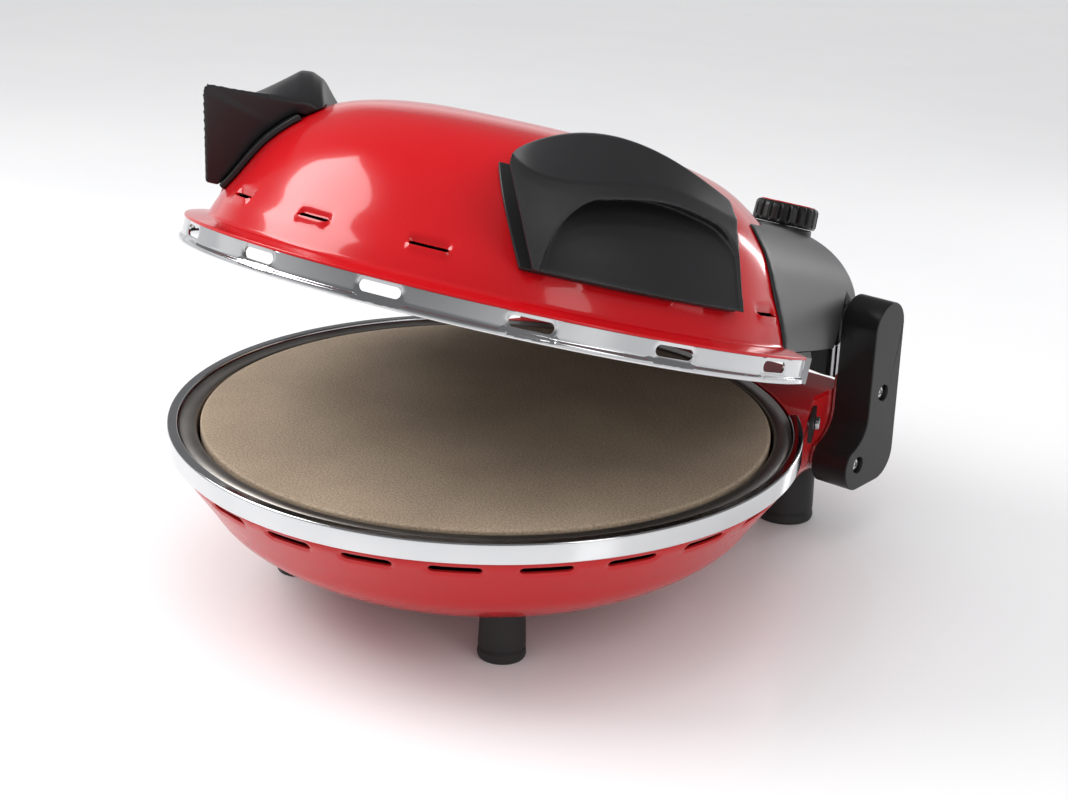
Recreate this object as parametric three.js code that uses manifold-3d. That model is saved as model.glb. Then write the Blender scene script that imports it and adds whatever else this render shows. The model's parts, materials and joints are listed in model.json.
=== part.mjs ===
// A countertop pizza oven: a bowl-shaped base with a baking stone, and a domed lid on a rear hinge.
// Millimetres, +Z up, front towards -Y. The lid is drawn closed and then tilted open about its hinge.
// Heights marked "rel" are measured from the closed lid's lower edge.

import * as THREE from "three";
import { ConvexGeometry } from "three/addons/geometries/ConvexGeometry.js";
import { mergeVertices } from "three/addons/utils/BufferGeometryUtils.js";
import Module from "manifold-3d";

const wasm = await Module();
wasm.setup();

// ---------- driving dimensions ----------
const RING_R = 176; // outer radius of both steel rims
const RIM_Z = 96.5; // top of the base rim
const CLOSED_GAP = 1; // daylight between the closed rims
const LID_Z = RIM_Z + CLOSED_GAP; // lower edge of the closed lid
const OPEN_DEG = 17.1; // how far the lid stands open at rest
const PIVOT = { y: 202, z: 101.5 }; // hinge axis, parallel to X
const ROOT_Y = -29.213; // puts the middle of the whole oven's footprint box at the origin
const GAP = 0.3; // clearance between touching pieces
const SHELL = 2; // wall of the base casing
const DOME_WALL = 1.5;
const DOME_H = 100.6; // height of the dome above the lid's lower edge
const EXT_HALF = 107.5; // half width of the casing's rear extension
const EXT_FRONT = 172; // where its side walls turn straight back
const EXT_REAR = 208;
const BAND_END_DEG = 133; // bearing at which the base band stops
const SWEEP_DEG = 112; // bearing at which the base's round sides run straight towards the hinge
const STRAP_DEG = 104; // bearing at which the lid ring ends and the hinge strap takes over
const EXT_FLOOR = 36;
const DECK_Z = 88; // top of the rear deck
const BASE_SLOTS = { count: 24, first: -9, pitch: 15, length: 27, height: 5.4, z: 81.5 };
const LID_SLOTS = { count: 8, first: -76.5, pitch: 24, length: 22, height: 5.6, rel: 8.3 };
const LOUVRES = { first: -24, pitch: 24, length: 21, height: 2.4, rel: 32 };
const STONE = { r: 158, bottom: 83.9, thick: 11.6 };
const TUBE_R = 3.5; // radius of the heating elements' sheath
const LOWER_ELEMENT_Z = 74;
const UPPER_ELEMENT_REL = 38;
const FRONT_FOOT = { x: 76, y: -72, top: 12, bottom: 13 };
const REAR_FOOT = { x: 84, y: 188, top: 16.5, bottom: 17.5 };
const PLATE = { inner: EXT_HALF + GAP, thick: 2.8 }; // steel hinge plates, measured along X
const BLOCK = { inner: 111, thick: 24 }; // black hinge blocks, measured along X
const PIN_R = 4;
const ARM = { inner: 104.3, thick: 3, bend: 156, wallY: 184 };
const HOUSING = { half: 106.5, frontDeg: 105, rear: 224, top: 173, bottom: 112, wall: 2.5, roll: 46, corner: 24 };
const KNOB = { x: 52, y: 190, r: 19.5, bottom: 174.4, height: 13, collarR: 14.5, flutes: 20 };
const HANDLE = { foot: 32, plate: 3, wall: 4, lip: 7.5 };
const FACETS = 40; // round every shell, so that neighbours run parallel

const rad = THREE.MathUtils.degToRad;
const v2 = (x, y) => new THREE.Vector2(x, y);
const v3 = (x, y, z) => new THREE.Vector3(x, y, z);

// ---------- looks ----------
const finish = (color, roughness, metalness = 0) => ({ color, roughness, metalness });
const RED = finish(0xc1121c, 0.18);
const STEEL = finish(0xc9ccd0, 0.25, 1);
const DARK_STEEL = finish(0x4a4744, 0.45, 0.9);
const BLACK = finish(0x1d1e20, 0.5);
const CHARCOAL = finish(0x33363a, 0.48);
const RUBBER = finish(0x151516, 0.85);
const STONE_BROWN = finish(0xa88b66, 0.9);
const CERAMIC = finish(0xe4dccb, 0.6);
const WIRE = finish(0xd9d4c6, 0.7);

// ---------- solids ----------
function toSolid(geometry) {
  const bare = new THREE.BufferGeometry();
  bare.setAttribute("position", geometry.getAttribute("position"));
  if (geometry.index) bare.setIndex(geometry.index);
  const merged = mergeVertices(bare, 1e-4);
  const position = merged.getAttribute("position").array;
  const faces = [];
  let volume = 0;
  for (let i = 0; i < merged.index.count; i += 3) {
    const [a, b, c] = [0, 1, 2].map((k) => merged.index.array[i + k]);
    if (a === b || b === c || c === a) continue;
    faces.push([a, b, c]);
    const [p, q, r] = [a, b, c].map((k) => new THREE.Vector3().fromArray(position, k * 3));
    volume += p.dot(q.cross(r));
  }
  const ordered = volume < 0 ? faces.map(([a, b, c]) => [a, c, b]) : faces;
  const mesh = new wasm.Mesh({
    numProp: 3,
    vertProperties: new Float32Array(position),
    triVerts: new Uint32Array(ordered.flat()),
  });
  return new wasm.Manifold(mesh);
}

function toGeometry(solid) {
  const mesh = solid.getMesh();
  const geometry = new THREE.BufferGeometry();
  geometry.setAttribute("position", new THREE.BufferAttribute(new Float32Array(mesh.vertProperties), 3));
  geometry.setIndex(new THREE.BufferAttribute(new Uint32Array(mesh.triVerts), 1));
  geometry.computeVertexNormals();
  return geometry;
}

const join = (...solids) => solids.reduce((a, b) => a.add(b));
const cut = (solid, ...tools) => tools.reduce((a, b) => a.subtract(b), solid);

// a body of revolution round Z; the outline closes on itself or ends on the axis
function turned(outline, facets, centre = v3(0, 0, 0)) {
  const geometry = new THREE.LatheGeometry(outline, facets);
  geometry.rotateX(Math.PI / 2);
  geometry.translate(centre.x, centre.y, centre.z);
  return toSolid(geometry);
}

const closed = (points) => [...points, points[0]];

function tube(inner, outer, bottom, top, facets, centre) {
  const corners = [v2(inner, bottom), v2(outer, bottom), v2(outer, top), v2(inner, top)];
  return turned(closed(corners), facets, centre);
}

function disc(radius, bottom, top, facets, centre) {
  return turned([v2(0, bottom), v2(radius, bottom), v2(radius, top), v2(0, top)], facets, centre);
}

function block(x0, x1, y0, y1, z0, z1) {
  const geometry = new THREE.BoxGeometry(x1 - x0, y1 - y0, z1 - z0);
  geometry.translate((x0 + x1) / 2, (y0 + y1) / 2, (z0 + z1) / 2);
  return toSolid(geometry);
}

// a rod from one point to another
function rod(from, to, radius, facets = 16) {
  const axis = new THREE.Vector3().subVectors(to, from);
  const geometry = new THREE.CylinderGeometry(radius, radius, axis.length(), facets);
  geometry.translate(0, axis.length() / 2, 0);
  const turn = new THREE.Quaternion().setFromUnitVectors(v3(0, 1, 0), axis.clone().normalize());
  geometry.applyQuaternion(turn);
  geometry.translate(from.x, from.y, from.z);
  return toSolid(geometry);
}

// a flat outline in X and Y, raised from bottom to top
function raised(shape, bottom, top, curveSegments = 8) {
  const geometry = new THREE.ExtrudeGeometry(shape, {
    depth: top - bottom,
    bevelEnabled: false,
    curveSegments,
  });
  geometry.translate(0, 0, bottom);
  return toSolid(geometry);
}

// an outline in Y and Z, drawn out along X
function drawnAlongX(shape, x0, x1, curveSegments = 8, bevel = 0) {
  const geometry = new THREE.ExtrudeGeometry(shape, {
    depth: x1 - x0 - 2 * bevel,
    bevelEnabled: bevel > 0,
    bevelThickness: bevel,
    bevelSize: bevel,
    bevelOffset: -bevel,
    bevelSegments: 1,
    curveSegments,
  });
  geometry.translate(0, 0, x0 + bevel);
  geometry.applyMatrix4(new THREE.Matrix4().makeBasis(v3(0, 1, 0), v3(0, 0, 1), v3(1, 0, 0)));
  return toSolid(geometry);
}

function bentRod(points, radius, sides, steps) {
  const circle = new THREE.Shape();
  circle.absarc(0, 0, radius, 0, 2 * Math.PI);
  const path = new THREE.CatmullRomCurve3(points, false, "centripetal");
  const geometry = new THREE.ExtrudeGeometry(circle, {
    steps,
    curveSegments: sides / 2,
    extrudePath: path,
  });
  return toSolid(geometry);
}

// a solid through a row of outlines with equal point counts, closed at both ends
function lofted(rows) {
  const count = rows[0].length;
  const faces = [];
  for (let i = 0; i + 1 < rows.length; i += 1) {
    for (let k = 0; k < count; k += 1) {
      const next = (k + 1) % count;
      faces.push(i * count + k, i * count + next, (i + 1) * count + next);
      faces.push(i * count + k, (i + 1) * count + next, (i + 1) * count + k);
    }
  }
  const last = (rows.length - 1) * count;
  for (let k = 1; k + 1 < count; k += 1) {
    faces.push(0, k + 1, k);
    faces.push(last, last + k, last + k + 1);
  }
  const geometry = new THREE.BufferGeometry();
  geometry.setAttribute("position", new THREE.Float32BufferAttribute(rows.flat().flatMap((p) => p.toArray()), 3));
  geometry.setIndex(faces);
  return toSolid(geometry);
}

// a point at a bearing in degrees from the front, turning towards +X
const atBearing = (deg, radius, z) => v3(radius * Math.sin(rad(deg)), -radius * Math.cos(rad(deg)), z);

// a round-ended slot cut through a wall at a bearing
function slotTool(deg, radius, z, length, height) {
  const half = length / 2 - height / 2;
  const shape = new THREE.Shape();
  shape.absarc(half, 0, height / 2, -Math.PI / 2, Math.PI / 2);
  shape.absarc(-half, 0, height / 2, Math.PI / 2, 1.5 * Math.PI);
  const depth = 16;
  const geometry = new THREE.ExtrudeGeometry(shape, { depth, bevelEnabled: false, curveSegments: 2 });
  geometry.translate(0, 0, -depth / 2);
  geometry.rotateX(Math.PI / 2);
  geometry.rotateZ(rad(deg));
  const centre = atBearing(deg, radius, z);
  geometry.translate(centre.x, centre.y, centre.z);
  return toSolid(geometry);
}

const mirrored = (solid) => toSolid(toGeometry(solid).scale(-1, 1, 1));

// ---------- outlines shared by several pieces ----------
// the same outline moved inwards by a wall's thickness
function offset(points, distance) {
  return points.map((p, i) => {
    const before = points[Math.max(i - 1, 0)];
    const after = points[Math.min(i + 1, points.length - 1)];
    const along = new THREE.Vector2().subVectors(after, before).normalize();
    const moved = v2(p.x + along.y * distance, p.y - along.x * distance);
    return p.x === 0 ? v2(0, moved.y) : moved;
  });
}

// crown to foot, heights rel
const DOME_KNOTS = [
  v2(0, DOME_H),
  v2(60, 99.1),
  v2(100, 91.7),
  v2(125, 78.3),
  v2(142, 61.6),
  v2(154, 38.9),
  v2(160, 27.7),
  v2(164, 18),
];
const domeOutline = new THREE.SplineCurve(DOME_KNOTS).getPoints(9);

function domeRadius(rel) {
  for (let i = 1; i < domeOutline.length; i += 1) {
    const [high, low] = [domeOutline[i - 1], domeOutline[i]];
    if (rel <= high.y && rel >= low.y) {
      return high.x + ((low.x - high.x) * (high.y - rel)) / (high.y - low.y);
    }
  }
  return rel > DOME_H ? 0 : domeOutline.at(-1).x;
}

// everything inside the dome's outer face, grown by a distance, for trimming what sits on it
function domeBody(grow) {
  const skin = offset(domeOutline, -grow);
  skin[0].x = 0;
  const foot = [v2(skin.at(-1).x, -20), v2(0, -20)];
  return turned([...skin, ...foot].map((p) => v2(p.x, p.y + LID_Z)), FACETS);
}

// foot to rim
const BOWL_KNOTS = [
  v2(0, 18),
  v2(74, 18),
  v2(98, 22.5),
  v2(127, 33),
  v2(148, 47),
  v2(159, 62),
  v2(167, 73.5),
  v2(172.2, 81),
  v2(173.6, 88),
];
const bowlOutline = [BOWL_KNOTS[0], ...new THREE.SplineCurve(BOWL_KNOTS.slice(1)).getPoints(7)];

// ---------- base ----------
// the casing between the round bowl and the hinge: its sides narrow towards the back
function extensionSolid(inset, top) {
  const half = EXT_HALF - inset;
  const floor = EXT_FLOOR + inset;
  const rear = EXT_REAR - inset;
  const round = 12 - inset;
  const side = new THREE.Shape();
  side.moveTo(100, floor);
  side.lineTo(rear - round, floor);
  side.absarc(rear - round, floor + round, round, -Math.PI / 2, 0);
  side.lineTo(rear, top);
  side.lineTo(100, top);
  const plan = new THREE.Shape();
  plan.moveTo(-half, 90);
  plan.lineTo(half, 90);
  plan.absarc(half - round, rear - round, round, 0, Math.PI / 2);
  plan.absarc(-half + round, rear - round, round, Math.PI / 2, Math.PI);
  const box = drawnAlongX(side, -half, half, 3).intersect(raised(plan, floor - 1, top + 1, 3));
  return box.add(sweptSides(inset, top));
}

// the flanks that join the bowl to the extension
function sweptSides(inset, top) {
  const points = [];
  for (const way of [-1, 1]) {
    for (const p of bowlOutline.slice(3)) {
      const z = Math.min(p.y + inset * 0.7, top);
      points.push(atBearing(SWEEP_DEG * way, p.x - inset, z));
    }
    points.push(atBearing(SWEEP_DEG * way, 173.6 - inset, top));
    points.push(v3(way * (EXT_HALF - inset), EXT_FRONT, top));
    points.push(v3(way * (EXT_HALF - inset), EXT_FRONT, EXT_FLOOR + 10));
    points.push(v3(way * (EXT_HALF - inset - 9), EXT_FRONT, EXT_FLOOR + inset));
  }
  return toSolid(new ConvexGeometry(points));
}

function footHole(foot) {
  return rod(v3(foot.x, foot.y, 0), v3(foot.x, foot.y, 60), 2.4, 10);
}

function baseShell(tools) {
  const rim = [v2(173.6, RIM_Z - 2), v2(0, RIM_Z - 2)];
  const outer = turned([...bowlOutline, ...rim], FACETS);
  const hollow = [...offset(bowlOutline, -SHELL), v2(171.6, RIM_Z + 5), v2(0, RIM_Z + 5)];
  const inner = turned(hollow, FACETS);
  const walls = join(outer, extensionSolid(0, DECK_Z - 2.8));
  const cavity = join(inner, extensionSolid(SHELL, DECK_Z + 4).subtract(tube(171.6, 190, DECK_Z - 2.8, 120, FACETS)));
  const slots = [];
  for (let i = 0; i < BASE_SLOTS.count; i += 1) {
    const deg = BASE_SLOTS.first + i * BASE_SLOTS.pitch;
    const behind = Math.abs(((deg + 180) % 360) - 180) > 135;
    if (!behind) slots.push(slotTool(deg, 171, BASE_SLOTS.z, BASE_SLOTS.length, BASE_SLOTS.height));
  }
  const feet = [FRONT_FOOT, REAR_FOOT].flatMap((foot) => [footHole(foot), footHole({ ...foot, x: -foot.x })]);
  return cut(walls, cavity, ...slots, ...feet, ...tools);
}

// the steel strip round the base rim, open at the back
function baseBand() {
  const ring = turned(
    closed([
      v2(174, RIM_Z - 11.2),
      v2(RING_R, RIM_Z - 11.2),
      v2(RING_R, RIM_Z - 1.2),
      v2(174.8, RIM_Z),
      v2(170.5, RIM_Z),
      v2(170.5, RIM_Z - 1.4),
      v2(174, RIM_Z - 1.6),
    ]),
    FACETS,
  );
  const half = RING_R * Math.sin(rad(BAND_END_DEG));
  return ring.subtract(block(-half, half, 60, 200, 60, 120));
}

// a point on the base's swept flank, given how far it is from the flank's front end and its height
const FLANK_FROM = atBearing(SWEEP_DEG, 173.6, 0);
const FLANK_ALONG = new THREE.Vector3(EXT_HALF, EXT_FRONT, 0).sub(FLANK_FROM).normalize();
const FLANK_TURN = Math.atan2(-FLANK_ALONG.x, FLANK_ALONG.y);

// moves a solid drawn on the YZ plane, with Y along the flank, out to the flank
function ontoFlank(solid) {
  const geometry = toGeometry(solid);
  geometry.rotateZ(FLANK_TURN);
  geometry.translate(FLANK_FROM.x, FLANK_FROM.y, 0);
  return toSolid(geometry);
}

const BRACKET = { from: 86, to: 112, screw: 102, z: 78.5 };

// black clip that ties the end of the band to the flank
function bandBracket() {
  const strap = block(GAP, 2.8, BRACKET.from, BRACKET.to, BRACKET.z - 7, BRACKET.z + 7);
  const hole = rod(v3(-5, BRACKET.screw, BRACKET.z), v3(9, BRACKET.screw, BRACKET.z), 2.3, 12);
  return ontoFlank(strap.subtract(hole));
}

const bracketHole = () => ontoFlank(rod(v3(-9, BRACKET.screw, BRACKET.z), v3(9, BRACKET.screw, BRACKET.z), 2.3, 12));

// a slotted screw lying along X, head outwards
function screwAlongX(x, y, z, headR, shank) {
  const head = rod(v3(x - 2.6, y, z), v3(x, y, z), headR, 14);
  const thread = rod(v3(x - 2.6 - shank, y, z), v3(x - 2.5, y, z), 2, 8);
  const slot = block(x - 1, x + 1, y - 0.5, y + 0.5, z - headR * 0.6, z + headR * 0.6);
  return cut(join(head, thread), slot);
}

// a screw standing along Z, head downwards
function screwUp(x, y, z, headR, shank) {
  const head = disc(headR, z, z + 2.4, 14, v3(x, y, 0));
  return join(head, disc(2, z + 2.3, z + 2.4 + shank, 10, v3(x, y, 0)));
}

// pressed steel tray that carries the lower element and the stone
function innerPan(tool) {
  const upper = [v2(0, 66), v2(138, 66), v2(145, 83.5), v2(159, 83.5), v2(160.2, 94.6), v2(170, 94.6)];
  const lower = upper.map((p) => v2(p.x === 0 ? 0 : p.x + 0.9, p.y - 1.3)).reverse();
  return turned([...upper, ...lower], FACETS).subtract(tool);
}

function pizzaStone() {
  const top = STONE.bottom + STONE.thick;
  const edge = [v2(STONE.r - 1.5, STONE.bottom), v2(STONE.r, STONE.bottom + 1.5), v2(STONE.r, top - 2)];
  return turned([v2(0, STONE.bottom), ...edge, v2(STONE.r - 2, top), v2(0, top)], FACETS);
}

// one open ring of sheathed heater whose two legs run back side by side
function elementPath(radius, z, legEnd) {
  const points = [v3(14, legEnd, z), v3(14, radius + 22, z), v3(20, radius + 2, z)];
  for (let deg = 158; deg >= -158; deg -= 22.571428) points.push(atBearing(deg, radius, z));
  return [...points, v3(-20, radius + 2, z), v3(-14, radius + 22, z), v3(-14, legEnd, z)];
}

const element = (radius, z, legEnd, thick) => bentRod(elementPath(radius, z, legEnd), thick, 6, 34);

function elementClip(deg, radius, z0, z1) {
  const centre = atBearing(deg, radius, 0);
  const geometry = new THREE.BoxGeometry(2, 15, z1 - z0);
  geometry.rotateZ(rad(deg));
  geometry.translate(centre.x, centre.y, (z0 + z1) / 2);
  return toSolid(geometry);
}

function footSolid(foot, top) {
  const recess = foot.bottom * 0.5;
  return turned(
    [
      v2(2.4, 9),
      v2(recess, 9),
      v2(recess, 0),
      v2(foot.bottom - 1, 0),
      v2(foot.bottom, 1),
      v2(foot.top, top),
      v2(2.4, top),
      v2(2.4, 9),
    ],
    20,
    v3(foot.x, foot.y, 0),
  );
}

// the flat painted top of the extension, behind the round rim
function rearDeck() {
  const half = EXT_HALF;
  const round = 12;
  const corner = FLANK_FROM;
  const plan = new THREE.Shape();
  plan.moveTo(-corner.x, corner.y);
  plan.lineTo(corner.x, corner.y);
  plan.lineTo(half, EXT_FRONT);
  plan.absarc(half - round, EXT_REAR - round, round, 0, Math.PI / 2);
  plan.absarc(-half + round, EXT_REAR - round, round, Math.PI / 2, Math.PI);
  plan.lineTo(-half, EXT_FRONT);
  return raised(plan, DECK_Z - 2, DECK_Z, 5).subtract(disc(RING_R + GAP, 60, 120, FACETS));
}

// the tall rounded block seen from the side, with a foot lobe reaching forwards
function blockOutline(inset) {
  const width = 16 - inset;
  const shape = new THREE.Shape();
  shape.moveTo(206 - width, 78);
  shape.lineTo(206 - width, 129);
  shape.absarc(206, 129, width, Math.PI, 0, true);
  shape.lineTo(223 - inset, 50);
  shape.absarc(206, 50, 17 - inset, 0, -Math.PI / 2, true);
  shape.lineTo(184, 33 + inset);
  shape.absarc(184, 48, 15 - inset, -Math.PI / 2, -Math.PI * 1.25, true);
  shape.quadraticCurveTo(206 - width, 64 - inset, 206 - width, 78);
  return shape;
}

const BLOCK_SCREWS = [v2(205, 89), v2(183, 49)]; // Y and Z

function hingeBlock(pinHole) {
  const outer = BLOCK.inner + BLOCK.thick;
  const body = drawnAlongX(blockOutline(0), BLOCK.inner, outer, 4, 0.8);
  const holes = BLOCK_SCREWS.flatMap((p) => [
    rod(v3(outer - 5, p.x, p.y), v3(outer + 5, p.x, p.y), 5, 16),
    rod(v3(BLOCK.inner - 5, p.x, p.y), v3(outer, p.x, p.y), 2.3, 10),
  ]);
  return cut(body, ...holes, pinHole);
}

function hingePlate(pinHole) {
  const body = drawnAlongX(blockOutline(3), PLATE.inner, PLATE.inner + PLATE.thick, 3);
  const holes = BLOCK_SCREWS.map((p) => rod(v3(90, p.x, p.y), v3(140, p.x, p.y), 2.3, 10));
  return cut(body, ...holes, pinHole);
}

function hingePin() {
  const head = rod(v3(101.6, PIVOT.y, PIVOT.z), v3(104, PIVOT.y, PIVOT.z), 6.5, 18);
  return join(head, rod(v3(103.9, PIVOT.y, PIVOT.z), v3(124, PIVOT.y, PIVOT.z), PIN_R, 18));
}

const pinHole = () => rod(v3(90, PIVOT.y, PIVOT.z), v3(124.5, PIVOT.y, PIVOT.z), PIN_R + GAP, 18);

const GLAND = v3(-58, EXT_REAR, 62);

function cordGland() {
  const outline = [v2(4, -4), v2(7, -4), v2(7, GAP), v2(10.5, GAP), v2(10.5, 3), v2(7.5, 4.5), v2(6.5, 10), v2(4, 10)];
  const geometry = new THREE.LatheGeometry(closed(outline), 20);
  geometry.translate(GLAND.x, GLAND.y, GLAND.z);
  return toSolid(geometry);
}

const glandHole = () => rod(v3(GLAND.x, 190, GLAND.z), v3(GLAND.x, 220, GLAND.z), 7 + GAP, 20);

function terminalBlock() {
  const floor = EXT_FLOOR + SHELL + GAP;
  const body = block(-24, 24, 182, 196, floor, floor + 12);
  const wells = [-16, 0, 16].map((x) => disc(3, floor + 7, floor + 14, 12, v3(x, 189, 0)));
  return cut(body, ...wells);
}

function thermalFuse() {
  return rod(v3(-44, 170, 45), v3(-24, 170, 45), 4, 12).add(block(-40, -28, 166, 174, EXT_FLOOR + SHELL + GAP, 45));
}

function lead(from, to, radius) {
  const middle = v3((from.x + to.x) / 2, to.y, (from.z * 2 + to.z) / 3);
  return bentRod([from, middle, to], radius, 6, 6);
}

// ---------- lid, drawn closed ----------
function lidShell(tools) {
  const rel = (p) => v2(p.x, p.y + LID_Z);
  const flange = [v2(166.5, 16.6), v2(RING_R + 0.6, 14.6), v2(RING_R + 0.6, 12.9), v2(166, 15)];
  const outline = [...domeOutline, ...flange, ...offset(domeOutline, DOME_WALL).reverse()].map(rel);
  const louvres = [];
  for (let deg = LOUVRES.first; deg < 120; deg += LOUVRES.pitch) {
    louvres.push(slotTool(deg, 158, LID_Z + LOUVRES.rel, LOUVRES.length, LOUVRES.height));
    if (deg > 0) louvres.push(slotTool(-deg, 158, LID_Z + LOUVRES.rel, LOUVRES.length, LOUVRES.height));
  }
  return cut(turned(outline, FACETS), flangeCut(), ...louvres, ...tools);
}

// the lid ring and the flange stop where the hinge straps begin
const STRAP_FROM = atBearing(STRAP_DEG, RING_R - 0.5, 0);
const behindStraps = (z0, z1) => block(-190, 190, STRAP_FROM.y, 200, z0, z1);

function flangeCut() {
  const foot = disc(domeOutline.at(-1).x + GAP, LID_Z - 1, LID_Z + 25, FACETS);
  return behindStraps(LID_Z, LID_Z + 24).subtract(foot);
}

// the steel skirt under the dome, with a rolled lower lip
function lidRing() {
  const rel = (p) => v2(p.x, p.y + LID_Z);
  const outline = closed([
    v2(174.3, 0),
    v2(176.2, 0),
    v2(177.2, 1),
    v2(177.2, 2.2),
    v2(RING_R, 3.2),
    v2(RING_R, 12.6),
    v2(174.4, 12.6),
    v2(174.4, 3.2),
    v2(173.3, 2.2),
    v2(173.3, 1),
  ]);
  const slots = [];
  for (let i = 0; i < LID_SLOTS.count; i += 1) {
    const deg = LID_SLOTS.first + i * LID_SLOTS.pitch;
    slots.push(slotTool(deg, 174, LID_Z + LID_SLOTS.rel, LID_SLOTS.length, LID_SLOTS.height));
  }
  return cut(turned(outline.map(rel), FACETS), behindStraps(60, 160), ...slots);
}

function reflector(tool) {
  const lower = [v2(0, 56), v2(118, 54), v2(138, 44), v2(148, 28), v2(155, 11), v2(167.4, 11)];
  const upper = lower.map((p) => v2(p.x === 0 ? 0 : p.x + 0.4, p.y + 1.2)).reverse();
  return turned([...lower, ...upper].map((p) => v2(p.x, p.y + LID_Z)), FACETS).subtract(tool);
}

// steel plate under the rear housing, with straps that run forward to the ends of the lid ring
// and a low wall that closes the gap between them
function hingeBracket() {
  const outer = ARM.inner + ARM.thick;
  const start = v2(STRAP_FROM.x, STRAP_FROM.y + GAP);
  const bend = v2(ARM.inner, ARM.bend);
  const across = v2(bend.y - start.y, start.x - bend.x).normalize().multiplyScalar(ARM.thick);
  const outline = [start, bend, v2(ARM.inner, 220), v2(outer, 220), v2(outer, ARM.bend), start.clone().add(across)];
  const side = new THREE.Shape();
  side.moveTo(30, LID_Z + 0.5);
  side.lineTo(150, LID_Z + 0.5);
  side.lineTo(ARM.wallY, 93.5);
  side.absarc(PIVOT.y, PIVOT.z, 9.5, -Math.PI * 0.6, Math.PI / 2);
  side.lineTo(PIVOT.y - 8, 111.7);
  side.lineTo(30, 111.7);
  const strip = raised(new THREE.Shape(outline), 80, 130);
  const strap = cut(strip.intersect(drawnAlongX(side, 90, 190, 5)), pinHole());
  const plan = new THREE.Shape([start, bend, v2(ARM.inner, PIVOT.y - 8)]);
  plan.lineTo(-ARM.inner, PIVOT.y - 8);
  plan.lineTo(-bend.x, bend.y);
  plan.lineTo(-start.x, start.y);
  const plate = raised(plan, 110, 111.7).subtract(disc(RING_R - 10, 60, 140, FACETS));
  const wall = block(-ARM.inner - 0.5, ARM.inner + 0.5, ARM.wallY - 2, ARM.wallY, LID_Z + 0.5, 110.5);
  return join(plate, wall, strap, mirrored(strap));
}

const HOUSING_SCREW = { x: 90, y: 175 };

// a cushion whose top rolls over at the sides and the back, and whose front ends lie along the dome
function housingSolid(inset) {
  const { half, frontDeg, rear, top, bottom, roll, corner } = HOUSING;
  const low = bottom - (inset > 0 ? 5 : 0);
  const points = [];
  const addBothSides = (x, y, z) => points.push(v3(x, y, z), v3(-x, y, z));
  for (let up = 0; up <= 90; up += 18) {
    const drawnIn = corner + (roll - corner) * (1 - Math.cos(rad(up)));
    const radius = (corner - inset) * Math.cos(rad(up));
    const z = top - roll + (roll - inset) * Math.sin(rad(up));
    for (let turn = 0; turn <= 90; turn += 22.5) {
      const x = half - drawnIn + radius * Math.cos(rad(turn));
      const y = rear - drawnIn + radius * Math.sin(rad(turn));
      addBothSides(x, y, z);
      if (up === 0) addBothSides(x, y, low);
    }
    const rel = 19 + ((top - inset - LID_Z - 19) * up) / 90;
    const front = atBearing(frontDeg, domeRadius(rel) + 3 - inset, LID_Z + rel);
    addBothSides(front.x, front.y, front.z);
  }
  const foot = atBearing(frontDeg, 171 - inset, low);
  addBothSides(foot.x, foot.y, foot.z);
  const recess = hingeRecess(inset);
  return cut(toSolid(new ConvexGeometry(points)), recess, mirrored(recess));
}

// the round recess in the housing's side that turns past the hinge block
function hingeRecess(inset) {
  const from = v3(ARM.inner + ARM.thick - 0.3 - inset, PIVOT.y, PIVOT.z);
  return rod(from, v3(160, PIVOT.y, PIVOT.z), 46 + inset, 32);
}

// hollow cover behind the dome, open below and towards the dome
function rearHousing() {
  const at = v3(KNOB.x, KNOB.y, 0);
  const collar = disc(KNOB.collarR, HOUSING.top - 9, KNOB.bottom - 0.6, 24, at);
  const column = disc(5.5, HOUSING.bottom, HOUSING.top, 14, v3(HOUSING_SCREW.x, HOUSING_SCREW.y, 0));
  const boss = column.intersect(housingSolid(1));
  const pilot = disc(2.3, 100, HOUSING.bottom + 14, 10, v3(HOUSING_SCREW.x, HOUSING_SCREW.y, 0));
  const shell = housingSolid(0).subtract(housingSolid(HOUSING.wall));
  const body = join(shell, collar, boss, mirrored(boss));
  return cut(body, pilot, mirrored(pilot), disc(6, 150, 200, 18, at), domeBody(0.6));
}

function thermostat() {
  const top = HOUSING.top - 9 - GAP;
  const body = block(KNOB.x - 17, KNOB.x + 12, KNOB.y - 24, KNOB.y + 4, top - 20, top);
  const neck = disc(5, top - 0.1, HOUSING.top, 16, v3(KNOB.x, KNOB.y, 0));
  return cut(join(body, neck), disc(3.3, top - 8, 200, 14, v3(KNOB.x, KNOB.y, 0)));
}

function thermostatShaft() {
  return disc(3, HOUSING.top - 16.5, KNOB.bottom + 8, 14, v3(KNOB.x, KNOB.y, 0));
}

function knob() {
  const shape = new THREE.Shape();
  const steps = KNOB.flutes * 3;
  for (let i = 0; i < steps; i += 1) {
    const radius = KNOB.r - (i % 3 === 2 ? 1.1 : 0);
    const turn = (2 * Math.PI * i) / steps;
    if (i === 0) shape.moveTo(KNOB.x + radius, KNOB.y);
    else shape.lineTo(KNOB.x + radius * Math.cos(turn), KNOB.y + radius * Math.sin(turn));
  }
  const body = raised(shape, KNOB.bottom, KNOB.bottom + KNOB.height);
  const at = v3(KNOB.x, KNOB.y, 0);
  const top = KNOB.bottom + KNOB.height;
  const bore = disc(3.3, KNOB.bottom - 1, KNOB.bottom + 8.4, 14, at);
  const groove = tube(11.2, 16.8, top - 1.4, top + 1, 28, at);
  return cut(body, bore, groove);
}

function knobRing() {
  const top = KNOB.bottom + KNOB.height;
  return tube(11.5, 16.5, top - 1.1, top + 0.5, 28, v3(KNOB.x, KNOB.y, 0));
}

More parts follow.
